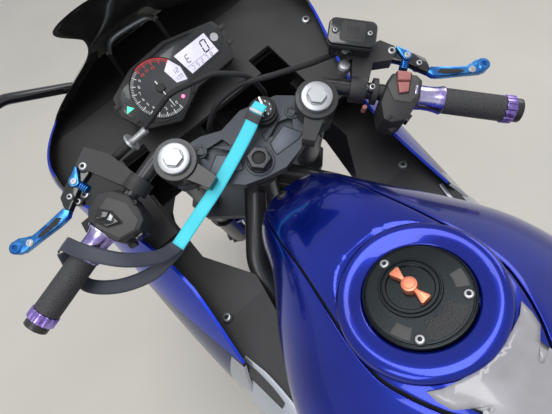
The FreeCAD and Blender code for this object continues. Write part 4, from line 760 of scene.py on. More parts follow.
# Twill carbon film on the filler ring
carbon = knurled("carbon_weave", "212123", "303134", pitch_mm=1.1, rough=0.35)
# Black-anodised aluminium of the filler lid: near black, a soft tight shine
anodised_black = surface("anodised_black", "1c2022", "25292b", metallic=0.9, rough=(0.22, 0.34),
    grain_mm=0.6, bump=0.1)

filler = []
spun(filler, [
    (73.5, -16), (73.5, -6), (72.6, -1.5), (70.5, 1.4), (67, 2.8), (62.5, 2.8), (57, 1.2), (51.5, -1),
    (49.2, -2), (48.3, -3.2), (48, -9), (20, -9),
], blue_paint, CAP, 96)
assemble("filler_ring", filler, angle=50)
cap = []
spun(cap, [
    (47.8, -9), (47.8, -0.8), (47, 0.3), (45.6, 0.5), (45, -0.1), (44.4, -0.1), (43.8, 0.8), (1, 0.8),
], anodised_black, CAP, 96)
INNER = CAP @ Matrix.Translation((8, 0.5, 0))
spun(cap, [
    (27.4, 0.5), (27.4, 1.9), (26.8, 2.5), (25.6, 2.5), (25, 1.6), (24.4, 1.6), (23.6, 2.7), (21.2, 2.7),
    (20.4, 2), (20.2, 1), (1, 1),
], anodised_black, INNER, 96)
for start, end, inner, skin in ((146, 210, 24.5, carbon), (102, 126, 31, pod_grey),
    (-126, -102, 31, pod_grey)):
    arc = [math.radians(start + (end - start) * k / 8) for k in range(9)]
    sector = [(42 * math.cos(a), 42 * math.sin(a)) for a in arc]
    sector += [(inner * math.cos(a), inner * math.sin(a)) for a in reversed(arc)]
    pressed(cap, sector, 0.4, 1.3, skin, CAP, 0.3)
for turn in (0, 136.5, 223.5):
    a = math.radians(turn)
    at = CAP @ Matrix.Translation((40 * math.cos(a), 40 * math.sin(a), 0))
    spun(cap, [(5.2, 0.6), (5.2, 1.1), (4.7, 1.3)], matt_black_and_shade, at, 24)
    screw(cap, at @ Vector((0, 0, 1.2)), CAP.to_3x3() @ Vector((0, 0, 1)), 4.1, bright_alloy, 1.6)
half_bow = [(-19.6, 4.4), (-18.6, 5.1), (-17, 4.9), (-8.6, 1.9), (-6, 2), (6, 2), (8.6, 1.9), (17, 4.9),
    (18.6, 5.1), (19.6, 4.4)]
pressed(cap, half_bow + [(x, -y) for x, y in reversed(half_bow)], 1, 7.4, copper, INNER, 0.8)
spun(cap, [(7.2, 0.8), (7.2, 7.6), (6.7, 8.4), (5.3, 8.7), (5, 8.2), (4.5, 8.2), (4.2, 8.9), (0.4, 9.1)],
    copper, INNER, 40)
assemble("filler_cap", cap, replaces=["fuel_cap"])
front_bolt = []
spun(front_bolt, [(8.5, -3), (8.5, 0.6), (7.4, 1.4), (6.4, 1.4)], matt_black_and_shade,
    pose((990, 8, 905.5), (0.45, 0, 0.9)), 28)
screw(front_bolt, (990, 8, 906.5), (0.45, 0, 0.9), 6, dark_alloy)
assemble("tank_front_bolt", front_bolt)


# Tank pad: clear gel stuck behind the filler, its edge cut in flame-like lobes.
# It follows the middle panel and stands two millimetres proud.

# Clear gel resin over the paint: milky, glossy, gently uneven
pad_gel = surface("pad_gel", "959397", "adacb1", rough=(0.12, 0.3), coat=0.8, grain_mm=38.5, bump=0.25,
    relief_mm=1.2, patch_mm=45, alpha=0.8)

half_pad = [
    (692, 0), (693, 14), (696, 28), (700, 42), (706, 52), (696, 51), (686, 47), (679, 37), (671, 24),
    (668, 25), (671, 33), (672, 38), (664, 40), (652, 46), (640, 53), (628, 51), (618, 41), (612, 27),
    (609, 29), (606, 42), (596, 47), (584, 41), (572, 29), (560, 14), (552, 0),
]
pad_outline = half_pad + [(x, -y) for x, y in half_pad[-2:0:-1]]


def tank_top_at(x, y):
    """Height of the tank's top at a place."""
    line = tank_section(x)
    return along(line, share_at(line, abs(y))).z


sheet = bmesh.new()
flat = sheet.faces.new([sheet.verts.new((x, y, 0)) for x, y in pad_outline])
bmesh.ops.triangulate(sheet, faces=[flat])
for _ in range(4):
    long_edges = [e for e in sheet.edges if e.calc_length() > 9]
    bmesh.ops.subdivide_edges(sheet, edges=long_edges, cuts=1, use_grid_fill=True)
bmesh.ops.triangulate(sheet, faces=sheet.faces)
for vert in sheet.verts:
    vert.co.z = tank_top_at(vert.co.x, vert.co.y) + 2
gel = []
keep(gel, sheet, pad_gel)
assemble("tank_pad", gel, angle=50, wall=1.4)


# Seats: foam under black vinyl, stretched over a moulded base, with welted seams. Each is the packed
# solid remeshed, blown up as cloth by a light pressure with its base held, and creased along its seams.

# Pebble-grained black vinyl: soft sheen over a 0.9 mm grain
seat_vinyl = surface("seat_vinyl", "222223", "2f2f30", rough=(0.5, 0.7), grain_mm=0.9, bump=0.7,
    relief_mm=0.4)

SWELL, REMESH, PRESSURE, FRAMES = 0.010, 0.006, 4, 20
SEAM_DEPTH, SEAM_WIDTH, WELT_PLACE, WELT_WIDTH, HELD_HEIGHT, BASE_EDGE = 2.6, 4.0, 7, 5, 22, 8
into_bike = BIKE.inverted()


def upholster(name, node, base_z, seams, rise):
    """A padded copy of a seat's solid; each seam gives a point's distance from it."""
    shell = bpy.data.objects.new(name, nodes[node].data.copy())
    bpy.context.scene.collection.objects.link(shell)
    shell.data.materials.clear()
    body = bmesh.new()
    body.from_mesh(shell.data)
    bmesh.ops.remove_doubles(body, verts=body.verts, dist=0.0001)
    body.to_mesh(shell.data)
    body.free()
    remesh = shell.modifiers.new("voxels", "REMESH")
    remesh.mode, remesh.voxel_size = "VOXEL", REMESH
    graph = bpy.context.evaluated_depsgraph_get()
    shell.data = bpy.data.meshes.new_from_object(shell.evaluated_get(graph))
    shell.modifiers.clear()
    rest = [vert.co.copy() for vert in shell.data.vertices]
    held = shell.vertex_groups.new(name="base")
    for vert in shell.data.vertices:
        spot = into_bike @ (vert.co * 1000)
        height = spot.z - base_z(spot)
        held.add([vert.index], min(1.0, max(0.0, 1 - height / HELD_HEIGHT)), "REPLACE")
    cloth = shell.modifiers.new("cloth", "CLOTH")
    cloth.settings.use_pressure = True
    cloth.settings.uniform_pressure_force = PRESSURE
    cloth.settings.effector_weights.gravity = 0
    cloth.settings.vertex_group_mass = "base"
    cloth.settings.quality = 5
    cloth.collision_settings.use_collision = False
    for step in range(1, FRAMES + 1):
        bpy.context.scene.frame_set(step)
    graph = bpy.context.evaluated_depsgraph_get()
    blown = bpy.data.meshes.new_from_object(shell.evaluated_get(graph))
    moved = [vert.co.copy() for vert in blown.vertices]
    shell.modifiers.clear()
    for vert, start, end in zip(shell.data.vertices, rest, moved):
        way = end - start
        vert.co = start + way * min(1.0, SWELL / max(way.length, 1e-9))
    bpy.data.meshes.remove(blown)
    bpy.context.scene.frame_set(1)
    body = bmesh.new()
    body.from_mesh(shell.data)
    bmesh.ops.subdivide_edges(body, edges=body.edges, cuts=1, use_grid_fill=True, smooth=0.6)
    bmesh.ops.smooth_vert(body, verts=body.verts, factor=0.5, use_axis_x=True, use_axis_y=True,
        use_axis_z=True)
    body.normal_update()
    for vert in body.verts:
        spot = into_bike @ (vert.co * 1000)
        if vert.normal.z < 0.1 and spot.z < base_z(spot) + BASE_EDGE:
            continue
        near = min(seam(spot) for seam in seams)
        welt = rise * math.exp(-((near - WELT_PLACE) / WELT_WIDTH) ** 2)
        crease = SEAM_DEPTH * math.exp(-(near / SEAM_WIDTH) ** 2) - welt
        vert.co -= vert.normal * crease * 0.001
    body.to_mesh(shell.data)
    body.free()
    shell.data.materials.append(seat_vinyl)
    shell.data.polygons.foreach_set("use_smooth", [True] * len(shell.data.polygons))
    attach(shell, "chassis")
    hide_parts(node)
    return shell


def rider_base(spot):
    """Height of the seat's base, which dips in its middle."""
    return 783 + 0.00028 * (spot.x - 420) ** 2


def pillion_base(spot):
    """Height of the rear seat's base, which climbs backwards."""
    return 858 + 0.12 * (100 - spot.x)


upholster("rider_seat_pad", "rider_seat", rider_base, [
    lambda p: abs(p.x - 330 - 0.0016 * p.y * p.y),
    lambda p: abs(abs(p.y) - 74 - -0.00018 * (p.x - 420) ** 2),
    lambda p: abs(p.x - 500 + 0.001 * p.y * p.y),
], 0.7)
upholster("passenger_seat_pad", "passenger_seat", pillion_base, [
    lambda p: abs(abs(p.y) - 56 + 0.05 * (100 - p.x)),
    lambda p: abs(p.x - 178 - 0.002 * p.y * p.y),
    lambda p: abs(p.x - 20 + 0.002 * p.y * p.y),
], 0.6)


# Tail: a painted moulded cowl that ends in a red lamp, over a black mudguard with the blank plate,
# two amber lamps on rubber stalks and the plate's two screws.

# The same paint on the moulded panels, a shade lighter
blue_panel = surface("blue_panel", "0621a2", "0a2fba", metallic=0.8, rough=(0.2, 0.28), coat=0.6,
    grain_mm=0.4, bump=0.02, relief_mm=0.1)
# Red acrylic lens
lens_red = surface("lens_red", "a00d0d", "bc1919", rough=(0.1, 0.2), coat=1.0, grain_mm=5.0, bump=0.1)
# Amber acrylic lens
lens_amber = surface("lens_amber", "e18919", "ed9b27", rough=(0.1, 0.2), coat=1.0, grain_mm=5.0, bump=0.1)
# White-coated plate metal
plate_white = surface("plate_white", "dadad7", "e5e5e2", rough=(0.35, 0.45), grain_mm=2.0, bump=0.05)

dress("tail_cowl", blue_panel)
dress("tail_light", lens_red)
dress("rear_mudguard", black_plastic)
dress("indicators", black_plastic)
plate_face = pose((-421, 0, 640), (-math.cos(math.radians(26)), 0, math.sin(math.radians(26))), (0, -1, 0))
plate = []
corners = [(-90, 4), (-86, 0), (86, 0), (90, 4), (90, 106), (86, 110), (-86, 110), (-90, 106)]
pressed(plate, corners, 3.1, 4.6, plate_white, plate_face, 0.4)
pressed(plate, shrink(corners, 3), 4.4, 5.0, plate_white, plate_face, 0.3)
for y in (-60, 60):
    screw(plate, plate_face @ Vector((y, 96, 5.2)), plate_face.to_3x3() @ Vector((0, 0, 1)), 5, steel)
assemble("blank_plate", plate, replaces=["number_plate"])
lamps = []
for side in (1, -1):
    back = pose((-342.6, side * 111, 770), (-1, 0, 0), (0, 1, 0))
    pressed(lamps, [(-27, -9), (27, -9), (30, -5), (30, 5), (27, 9), (-27, 9), (-30, 5), (-30, -5)], -1, 5,
        lens_amber, back, 2)
    front = pose((1324.4, side * 279, 775), (1, 0, 0), (0, 1, 0))
    pressed(lamps, [(-19, -9), (19, -9), (22, -5), (22, 6), (18, 10), (-18, 10), (-22, 6), (-22, -5)], -1, 5,
        lens_amber, front, 2)
assemble("indicator_lenses", lamps)


# Fairing: injection-moulded panels a few millimetres thick, painted blue outside with a silver flash
# and bare black inside, screwed together over black inner panels and tube stays.

# Polished black ABS: dark with clean highlights
black_gloss = surface("black_gloss", "121214", "1b1b1d", rough=(0.12, 0.2), coat=0.6, grain_mm=1.2, bump=0.03)
# Fairing plastic: metallic blue outside with a silver flash over a darker foot, bare black ABS inside.
# The outside is where the surface faces away from the middle of the bike.
hull_finish = bpy.data.materials.new("hull_finish")
hull_finish.use_nodes = True
where = add_node(hull_finish, "TexCoord")
middle = BIKE @ Vector((950, 0, 700)) * 0.001
outward = add_node(hull_finish, "VectorMath", {0: where.outputs["Object"], 1: tuple(middle)},
    operation="SUBTRACT")
facing = add_node(hull_finish, "VectorMath", {
    0: outward.outputs["Vector"], 1: where.outputs["Normal"],
}, operation="DOT_PRODUCT").outputs["Value"]
outside = add_node(hull_finish, "Math", {0: facing, 1: 0.0}, operation="GREATER_THAN").outputs[0]
flake = add_node(hull_finish, "TexNoise", {"Vector": where.outputs["Object"], "Scale": 2600.0}).outputs["Fac"]
paint = add_node(hull_finish, "Mix", {
    "Factor": flake, "A": linear("0526a0"), "B": linear("0836c4"),
}, data_type="RGBA").outputs["Result"]
upward, forward, slant = (BIKE.to_3x3() @ Vector(way) for way in ((0, 0, 1), (1, 0, 0), (-0.42, 0, 1)))
# Columns: colour, and the windows it shows in, each a direction with its low and high reach in metres
for color, windows in (
    ("05205f", ((slant, 0.225, 2), (upward, 0, 0.8))),
    ("05194a", ((slant, -1, 0.165),)),
    ("a2a5a9", ((slant, 0.165, 0.225),)),
    ("cdcfd2", ((slant, 0.15, 0.157),)),
    ("a8adb6", ((forward, 0, 0.912), (slant, 0.2, 2), (upward, 0, 0.8))),
    ("030c28", ((upward, 0.8, 0.803),)),
):
    within = 1.0
    for way, low, high in windows:
        reach = add_node(hull_finish, "VectorMath", {
            0: where.outputs["Object"], 1: tuple(way),
        }, operation="DOT_PRODUCT").outputs["Value"]
        start = way.dot(BIKE.translation) * 0.001
        above = add_node(hull_finish, "Math", {0: reach, 1: start + low}, operation="GREATER_THAN").outputs[0]
        below = add_node(hull_finish, "Math", {0: reach, 1: start + high}, operation="LESS_THAN").outputs[0]
        both = add_node(hull_finish, "Math", {0: above, 1: below}, operation="MULTIPLY").outputs[0]
        within = add_node(hull_finish, "Math", {0: both, 1: within}, operation="MULTIPLY").outputs[0]
    paint = add_node(hull_finish, "Mix", {
        "Factor": within, "A": paint, "B": linear(color),
    }, data_type="RGBA").outputs["Result"]
grain = add_node(hull_finish, "TexNoise", {
    "Vector": where.outputs["Object"], "Scale": 1500.0, "Detail": 5.0,
}).outputs["Fac"]
bare = add_node(hull_finish, "Mix", {
    "Factor": grain, "A": linear("1a1a1b"), "B": linear("2d2d2e"),
}, data_type="RGBA").outputs["Result"]
tone = add_node(hull_finish, "Mix", {"Factor": outside, "A": bare, "B": paint},
    data_type="RGBA").outputs["Result"]
metal = add_node(hull_finish, "Math", {0: outside, 1: 0.75}, operation="MULTIPLY").outputs[0]
matt = add_node(hull_finish, "MapRange", {"Value": outside, "To Min": 0.56, "To Max": 0.3}).outputs["Result"]
relief = add_node(hull_finish, "Bump", {"Height": grain, "Strength": 0.12, "Distance": 0.0002})
add_node(hull_finish, "Principled BSDF", {
    "Base Color": tone, "Metallic": metal, "Roughness": matt, "Coat Weight": 0.4, "Coat Roughness": 0.05,
    "Normal": relief.outputs["Normal"],
})

for node in ("nose_cowl", "left_fairing", "right_fairing"):
    dress(node, hull_finish)
dress("belly_pan", black_gloss)
dress("fairing_stays", frame_black)
dress("inner_panels", black_plastic)
dress("dash_panel", black_plastic)
dress("front_fender", blue_panel)
panel_screws = []
for side in (1, -1):
    for spot, way in (
        ((964, 176 * side, 793.5), (0.06, 0, 1)), ((1150, 205 * side, 841), (0.2, 0, 1)),
        ((1220, 226 * side, 917), (-0.27, 0, 0.96)),
    ):
        spun(panel_screws, [(0, -1), (9.4, -1), (9.4, 0.6), (8.6, 1.2), (0, 1.2)], black_plastic,
            pose(spot, way), 32)
        screw(panel_screws, Vector(spot) + Vector((0, 0, 1)), way, 7.2, bright_alloy)
assemble("panel_screws", panel_screws)


# Rear corners of the fairing: silver moulded pieces that close each side behind the blue panel. They
# hang from the inner panel's edge and bulge a little outwards.

# Silver base coat of the flash: fine flake under lacquer
silver_paint = surface("silver_paint", "a8adb6", "b6bbc4", metallic=0.6, rough=(0.28, 0.38), coat=0.4,
    grain_mm=0.4, bump=0.06)

TOP_EDGE = smooth([(902, 186, 794), (881, 180, 791), (866, 176, 790), (844, 173, 788), (820, 171, 786),
    (800, 170, 784)], 6)
FOOT_EDGE = smooth([(905, 222, 744), (889, 224, 741), (865, 224, 740), (845, 220, 741), (822, 211, 748),
    (800, 192, 764)], 6)
for side in (1, -1):
    def lay_corner(u, v):
        top, foot = (edge[round(v * (len(edge) - 1))] for edge in (TOP_EDGE, FOOT_EDGE))
        point = top.lerp(foot, u) + Vector((0, 0.7, 0.7)) * 6 * math.sin(math.pi * u)
        return Vector((point.x, point.y * side, point.z))

    corner = []
    moulded(corner, 10, 30, lay_corner, silver_paint)
    assemble("fairing_corner_left" if side > 0 else "fairing_corner_right", corner, bevel=0.6,
        wall=2.4)


# Screen brace: a bent alloy hoop standing on the dash behind the instruments, holding the screen's
# middle. It is bent from one rod.

brace = []
rod(brace, [(1360, 57, 996), (1376, 50, 1000), (1384, 35, 1000), (1383, 15, 1000), (1378, -10, 1000),
    (1371, -33, 1000), (1356, -37, 997)], 5, bright_alloy)
for foot, head in (((1366, 60, 945), (1364, 56, 998)), ((1350, -38, 945), (1360, -37, 997))):
    rod(brace, [foot, (foot[0], foot[1], 975), head], 4, matt_black_and_shade)
assemble("screen_brace", brace)


# Headlights: two slanting clear lenses, each over a chromed bowl with a bulb and a smaller position
# bowl, in a dark housing.

# Clear polycarbonate: see-through with a hard shine
lens_clear = surface("lens_clear", "b4bcc2", "c4cbd0", rough=(0.05, 0.12), coat=1.0, grain_mm=16.7,
    bump=0.03, alpha=0.12)
# Vacuum-metallised lamp bowl
reflector = surface("reflector", "dfe2e6", "eceef0", metallic=1.0, rough=(0.08, 0.16), grain_mm=20, bump=0.05)
# Frosted bulb glass, faintly lit
lamp_ivory = surface("lamp_ivory", "efe9d8", "f5f0e4", rough=(0.2, 0.3), grain_mm=8, bump=0.05, glow=0.25)

dress("headlights", lens_clear)
beams = []
for side in (1, -1):
    wall_face = pose((1392, 0, 0), (1, 0, 0), (0, 1, 0))
    housing = [(28, 756), (94, 768), (150, 796), (168, 830), (148, 856), (86, 828), (28, 804)]
    pressed(beams, [(side * y, z) for y, z in housing], -4, 0, black_gloss, wall_face, 1)
    for y, z, x, radius in ((62, 789, 1462, 26), (118, 808, 1430, 23)):
        bowl = pose((x, side * y, z), (1, side * 0.12, 0.02), (0, 1, 0))
        spun(beams, [
            (0, -30), (radius * 0.3, -30), (radius * 0.62, -22), (radius * 0.86, -10), (radius, 4),
            (radius + 2.5, 5), (radius + 2.5, 0), (radius, -14), (radius * 0.66, -34), (0, -38),
        ], reflector, bowl, 48)
        spun(beams, [(0, -30), (5, -29), (6, -18), (4.6, -11), (0, -9)], lamp_ivory, bowl, 24)
        spun(beams, [(radius + 2.4, 4), (radius + 4.6, 4), (radius + 5, -2), (radius + 5, -60),
            (radius + 2.4, -60)], black_gloss, bowl, 48)
assemble("headlight_bowls", beams)


# Screen and mirrors: a dark polycarbonate bubble, and glass set in two black moulded heads.

# Dark smoked polycarbonate: nearly black, mirror-smooth
smoke_screen = surface("smoke_screen", "121214", "181819", rough=(0.16, 0.24), coat=1.0, grain_mm=10.0,
    bump=0.01, alpha=0.93)
# Silvered glass
mirror_glass = surface("mirror_glass", "d4d8dc", "dde1e4", metallic=1.0, rough=(0.02, 0.05), grain_mm=60,
    bump=0.01)

dress("windscreen", smoke_screen)
dress("mirrors", black_gloss, True)
glasses = []
for side in (1, -1):
    face = pose((1279.6, side * 305.4, 1071), (-1, 0, 0), (0, 1, 0))
    outline = [(-51, -18), (-45, -25), (45, -25), (51, -18), (51, 18), (45, 25), (-45, 25), (-51, 18)]
    pressed(glasses, outline, -2, 0.6, mirror_glass, face, 0.4)
assemble("mirror_glasses", glasses)


# Cables: rubber-sheathed clutch cable and brake hose. The clutch cable ends in a threaded barrel with a
# silver lock ring, and leads bend down into the nose.

dress("control_cables", matt_black_and_shade)
sleeve = []
adjuster = pose((88, 143, 22), (0.16, -0.92, 0.3))
spun(sleeve, [(3.9, 0), (5.4, 0), (5.4, 2), (4.6, 2.6), (4.6, 18), (5.2, 18.6), (5.2, 25), (3.9, 25.4)],
    bright_alloy, adjuster, 20)
spun(sleeve, [(4.6, -3), (12.5, -3), (12.5, 0), (4.6, 0)], bright_alloy, adjuster, 28)
assemble("clutch_cable_adjuster", sleeve, "steering", BARS)


# Top clamp: a cast aluminium yoke under slate paint, with milled pockets, two pinch bosses and the
# stem's ring. The details are extruded and turned on the solid's own face.

# The same slate paint on the first pocket each side, painted paler: a painted highlight where it catches the
# light
pocket_highlight_grey = surface("pocket_highlight_grey", "4d545d", "595f69", metallic=0.4, rough=(0.4, 0.52), grain_mm=0.6,
    bump=0.35, relief_mm=0.2)

dress("top_clamp", clamp_grey, True)
dress("lower_clamp", clamp_grey, True)
FLIP = Matrix.Diagonal((1, -1, 1, 1))
clamp = []
pockets = [
    [(33.5, -50), (12.5, -71), (6, -62), (-2.5, -25), (4, -22.5), (17.5, -22.5)],
    [(46.5, -53), (34.5, -17), (24, -17.5), (21, -20)],
]
for side in (1, -1):
    turn = FLIP if side > 0 else Matrix.Identity(4)
    for k, outline in enumerate(pockets):
        # A dead black rim round each pocket: painted shade at its walls.
        pressed(clamp, outline, -0.4, 0.25, matt_black_and_shade, turn, 0.1)
        # The first pocket each side is painted paler: a painted highlight.
        pressed(clamp, shrink(outline, 1.3), -0.2, 0.5, pocket_highlight_grey if k == 0 else clamp_grey, turn, 0.3)
    spun(clamp, [(10.5, -1), (10.5, 1.2), (9.6, 2), (7.4, 2)], clamp_grey, turn @ pose((46, -69, 0)), 36)
    # Dead black counterbore floor, bolt socket and pinch slit: painted shade.
    spun(clamp, [(7.4, 2), (7.4, 0.6), (1, 0.6)], matt_black_and_shade, turn @ pose((46, -69, 0)), 36)
    spun(clamp, [(6.2, 0.6), (6.2, 3.4), (5.4, 4.2), (3.3, 4.2), (3.3, 4.2, 6), (3, 1.2, 6)], dark_alloy,
        turn @ pose((46, -69, 0)), 24)
    spun(clamp, [(2.9, 1.3), (0.5, 1.3)], matt_black_and_shade, turn @ pose((46, -69, 0)), 24)
    pressed(clamp, [(18, -87.5), (18, -89.5), (-3, -91.5), (-3, -89.5)], -1, 0.4, matt_black_and_shade, turn)
spun(clamp, [(21, -0.5), (21, 1.4), (20, 2.2), (17.5, 2.2), (17, 1.2)], clamp_grey, pose((0, 0, 0)), 48)
assemble("clamp_details", clamp, "steering", BARS)


# Stem nut: a blackened steel hexagon nut with a hollow middle, screwed down on the steering stem.

nut = []
spun(nut, [
    (17, 0.5), (17, 4), (16.2, 5), (14.6, 5, 6), (14.6, 15, 6), (13.4, 17.2, 6), (11.6, 17.6), (9.4, 17.4),
    (9, 16), (9, 4),
], dark_alloy, pose((0, 0, 0)), 48)
# Dead black in the nut's hollow middle: painted shade.
spun(nut, [(9, 14.5), (7, 15.4), (0.5, 15.8)], matt_black_and_shade, pose((0, 0, 0)), 32)
assemble("stem_nut_detail", nut, "steering", BARS, replaces=["stem_nut"])


# Fork: chromed tubes in black lower legs, each tube closed by a turned aluminium cap with a hexagon.

dress("fork_tubes", bright_alloy)
dress("fork_sliders", frame_black)
caps = []
for side in (1, -1):
    at = pose((37.7, 100 * side, 0))
    spun(caps, [
        (28.6, 20), (28.6, 31.4), (27.4, 33), (22.6, 33.2), (22, 32.4), (21.4, 32.4),
    ], frame_black, at, 56)
    spun(caps, [
        (20.9, 30), (20.9, 37.2), (20.2, 38.4), (19, 38.9), (13.2, 39), (12.8, 38.5), (12.2, 38.5),
        (11.8, 39.1), (9.5, 39.1, 6), (9.2, 41.4, 6), (8.4, 42, 6), (5.2, 42), (4.8, 41.4), (0.5, 41.4),
    ], bright_alloy, at, 60)
assemble("fork_cap_detail", caps, "steering", BARS, bevel=0.2)


# Ignition switch: a black moulded barrel with a turned face, its positions printed round the slot.

# White screen print on the ignition face and the dial; its faint glow is painted light
print_white = surface("print_white", "e1e1e2", "eaeaeb", rough=(0.4, 0.5), glow=0.1)

dress("ignition_switch", black_plastic, True)
dress("ignition_key", steel)
ignition = []
at = pose((60.5, -32.3, 0))
spun(ignition, [(18.2, 4), (18.2, 15.2), (17.2, 17), (15.4, 17.4), (14.6, 16.6), (13.8, 16.2), (1, 16.2)],
    black_plastic, at, 48)
spun(ignition, [(13.4, 15.8), (13.4, 16.8), (12.6, 17.3), (8.8, 17.3), (8.4, 16.8), (0.5, 16.8)],
    dark_alloy, at, 40)
for turn in range(0, 360, 40):
    a = math.radians(turn)
    mark = [(x + 10.6 * math.cos(a), y + 10.6 * math.sin(a))
        for x, y in ((-1.4, -0.5), (1.4, -0.5), (1.4, 0.5), (-1.4, 0.5))]
    pressed(ignition, mark, 17.1, 17.55, print_white, at)
# Dead black key slot: painted shade.
pressed(ignition, [(-7, -1.6), (7, -1.6), (7, 1.6), (-7, 1.6)], 16.7, 17.4, matt_black_and_shade, at)
assemble("ignition_face", ignition, "steering", BARS)


# Key strap: one satin ribbon, cyan on its face and dark blue on its back. It runs from the key down
# to the left grip, where it loops over and under the rubber. It is laid flat and given its thickness.

RIB_MM = 2


def woven(name, low, high):
    """Satin ribbon: ribs across the weave, and a soft sheen."""
    made = bpy.data.materials.new(name)
    made.use_nodes = True
    where = add_node(made, "TexCoord").outputs["Object"]
    ribs = add_node(made, "TexWave", {
        "Vector": where, "Scale": 1000 / RIB_MM, "Distortion": 0.6,
    }).outputs["Fac"]
    drift = add_node(made, "TexNoise", {"Vector": where, "Scale": 35.0, "Detail": 3.0}).outputs["Fac"]
    tone = add_node(made, "Mix", {
        "Factor": drift, "A": linear(low), "B": linear(high),
    }, data_type="RGBA").outputs["Result"]
    matt = add_node(made, "MapRange", {"Value": ribs, "To Min": 0.42, "To Max": 0.58}).outputs["Result"]
    relief = add_node(made, "Bump", {"Height": ribs, "Strength": 0.25, "Distance": 0.0002})
    add_node(made, "Principled BSDF", {
        "Base Color": tone, "Roughness": matt, "Sheen Weight": 0.25, "Normal": relief.outputs["Normal"],
    })
    return made


# Polyester ribbon dyed cyan: fine ribs, satin
cyan_ribbon = woven("cyan_ribbon", "30c5d7", "45d4e5")
# The same ribbon's dark blue back
navy_ribbon = woven("navy_ribbon", "1d2230", "292f3e")


def ribbon(path, across, width, finish):
    """A flat ribbon along a soft path; across gives the way its width lies at each point."""
    line, sides = smooth(path, 10), smooth(across, 10)
    last = len(line) - 1

    def lay(u, v):
        k = round(v * last)
        ahead = (line[min(k + 1, last)] - line[max(k - 1, 0)]).normalized()
        side = (sides[k] - ahead * sides[k].dot(ahead)).normalized()
        curl = side.cross(ahead) * 0.3 * math.cos(u * 6.3)
        return line[k] + side * width * (u - 0.5) + curl

    piece = []
    moulded(piece, 6, last, lay, finish)
    return piece


webbing = ribbon(
    [(61, -31, 33), (54, -22, 34), (37, -2, 27), (12, 32, 17), (-15, 70, 11), (-40, 109, 8), (-62, 143, 6.5)],
    [(-0.55, -0.8, 0), (-0.6, -0.75, 0), (-0.8, -0.6, 0), (-0.82, -0.57, 0), (-0.82, -0.57, 0),
    (-0.8, -0.6, 0), (-0.75, -0.65, 0.1)],
    18, cyan_ribbon)
clip = pose((48, -14, 31.5), (-0.25, 0.3, 0.92), (-0.62, 0.78, 0))
buckle = []
pressed(buckle, [(-5.5, -10.4), (5.5, -10.4), (5.5, 10.4), (-5.5, 10.4)], -1.6, 2.2, dark_alloy, clip, 0.6)
pressed(buckle, [(-11, -9.2), (-7.2, -9.2), (-7.2, 9.2), (-11, 9.2)], -1, 1.6, bright_alloy, clip, 0.4)
assemble("strap_clip", buckle, "steering", BARS)
upper = ribbon(
    [(-56, 132, 4.4), (-62, 148, 5), (-66, 170, 17), (-54, 206, 33), (-26, 245, 36.5), (-4, 268, 26),
    (-2, 280, 8)],
    [(-0.8, -0.55, 0), (-0.9, -0.35, 0), (-1, 0, 0.1), (-0.9, 0.3, 0.2), (-0.6, 0.7, 0.1), (-0.55, 0.8, 0),
    (-0.55, 0.83, 0)],
    19, navy_ribbon)
lower = ribbon(
    [(-60, 139, 2.4), (-70, 160, 1), (-80, 192, -2), (-75, 238, -11), (-56, 276, -15), (-28, 284, -12),
    (-6, 282, 2)],
    [(-0.85, -0.5, 0), (-0.95, -0.3, 0), (-1, 0, 0), (-0.9, 0.3, -0.15), (-0.7, 0.7, -0.15),
    (-0.6, 0.8, -0.1), (-0.55, 0.83, 0)],
    19, navy_ribbon)
assemble("strap_from_key", webbing, "steering", BARS, angle=60, wall=1)
assemble("strap_over_grip", upper, "steering", BARS, angle=60, wall=1)
assemble("strap_under_grip", lower, "steering", BARS, angle=60, replaces=["key_lanyard"],
    wall=1)


# Instrument cluster: a moulded black housing that holds a rev counter and liquid-crystal windows under
# clear plastic. The plane that faces the rider has x to the right and y up the face.

def letters(piece, words, size, at, finish):
    """Raised figures, made a mesh before they are placed."""
    curve = bpy.data.curves.new("words", "FONT")
    curve.body, curve.size, curve.extrude = words, size, 0.05
    curve.align_x, curve.align_y = "CENTER", "CENTER"
    holder = bpy.data.objects.new("words", curve)
    mesh = bpy.data.meshes.new_from_object(holder)
    shape = bmesh.new()
    shape.from_mesh(mesh)
    bpy.data.objects.remove(holder)
    bpy.data.curves.remove(curve)
    bpy.data.meshes.remove(mesh)
    keep(piece, shape, finish, at)


# Printed dial film behind clear plastic
dial_black = surface("dial_black", "191b1d", "222326", rough=(0.2, 0.3), coat=0.4, grain_mm=0.7, bump=0.1)
# Backlit liquid crystal: pale lilac, faint glow
lcd_pale = surface("lcd_pale", "cecbe5", "dad7ec", rough=(0.2, 0.3), grain_mm=5.0, bump=0.02, glow=0.35)
# Red screen print
print_red = surface("print_red", "e12730", "ed383f", rough=(0.4, 0.5), glow=0.2)
# Lit red warning lamp
lamp_red = surface("lamp_red", "ff3f61", "ff597c", glow=4.0)
# Lit green turn-signal lamp
lamp_green = surface("lamp_green", "3ff3a0", "59ffb3", glow=1.6)

dress("instrument_cluster", black_plastic, True)
HALF = math.sqrt(0.5)
DIAL = pose((1225, 0, 968), (-HALF, 0, HALF), (0, -1, 0))
SHELL = [(-98, 40), (-106, 14), (-92, -22), (-40, -46), (12, -22), (82, -20), (99, 14), (90, 42), (10, 62),
    (-52, 58)]
GLASS = [(-91, 37), (-98, 14), (-86, -17), (-61, -32), (-38, -38), (-22, -36), (0, -26), (17, -6), (72, -2),
    (90, 14), (84, 40), (12, 56), (-48, 51)]
cluster = []
pressed(cluster, SHELL, -6, 3.5, black_plastic, DIAL, 2.5)
pressed(cluster, GLASS, 3.0, 4.6, black_gloss, DIAL, 0.8)
pressed(cluster, shrink(GLASS, 2.2), 4.4, 4.9, dial_black, DIAL, 0.2)
TACH = DIAL @ Matrix.Translation((-34.2, 10.2, 0))
TICKS, RED_FROM, DIAL_START, DIAL_SWEEP, LCD_FACE = 70, 50, 280, 243, 5.3
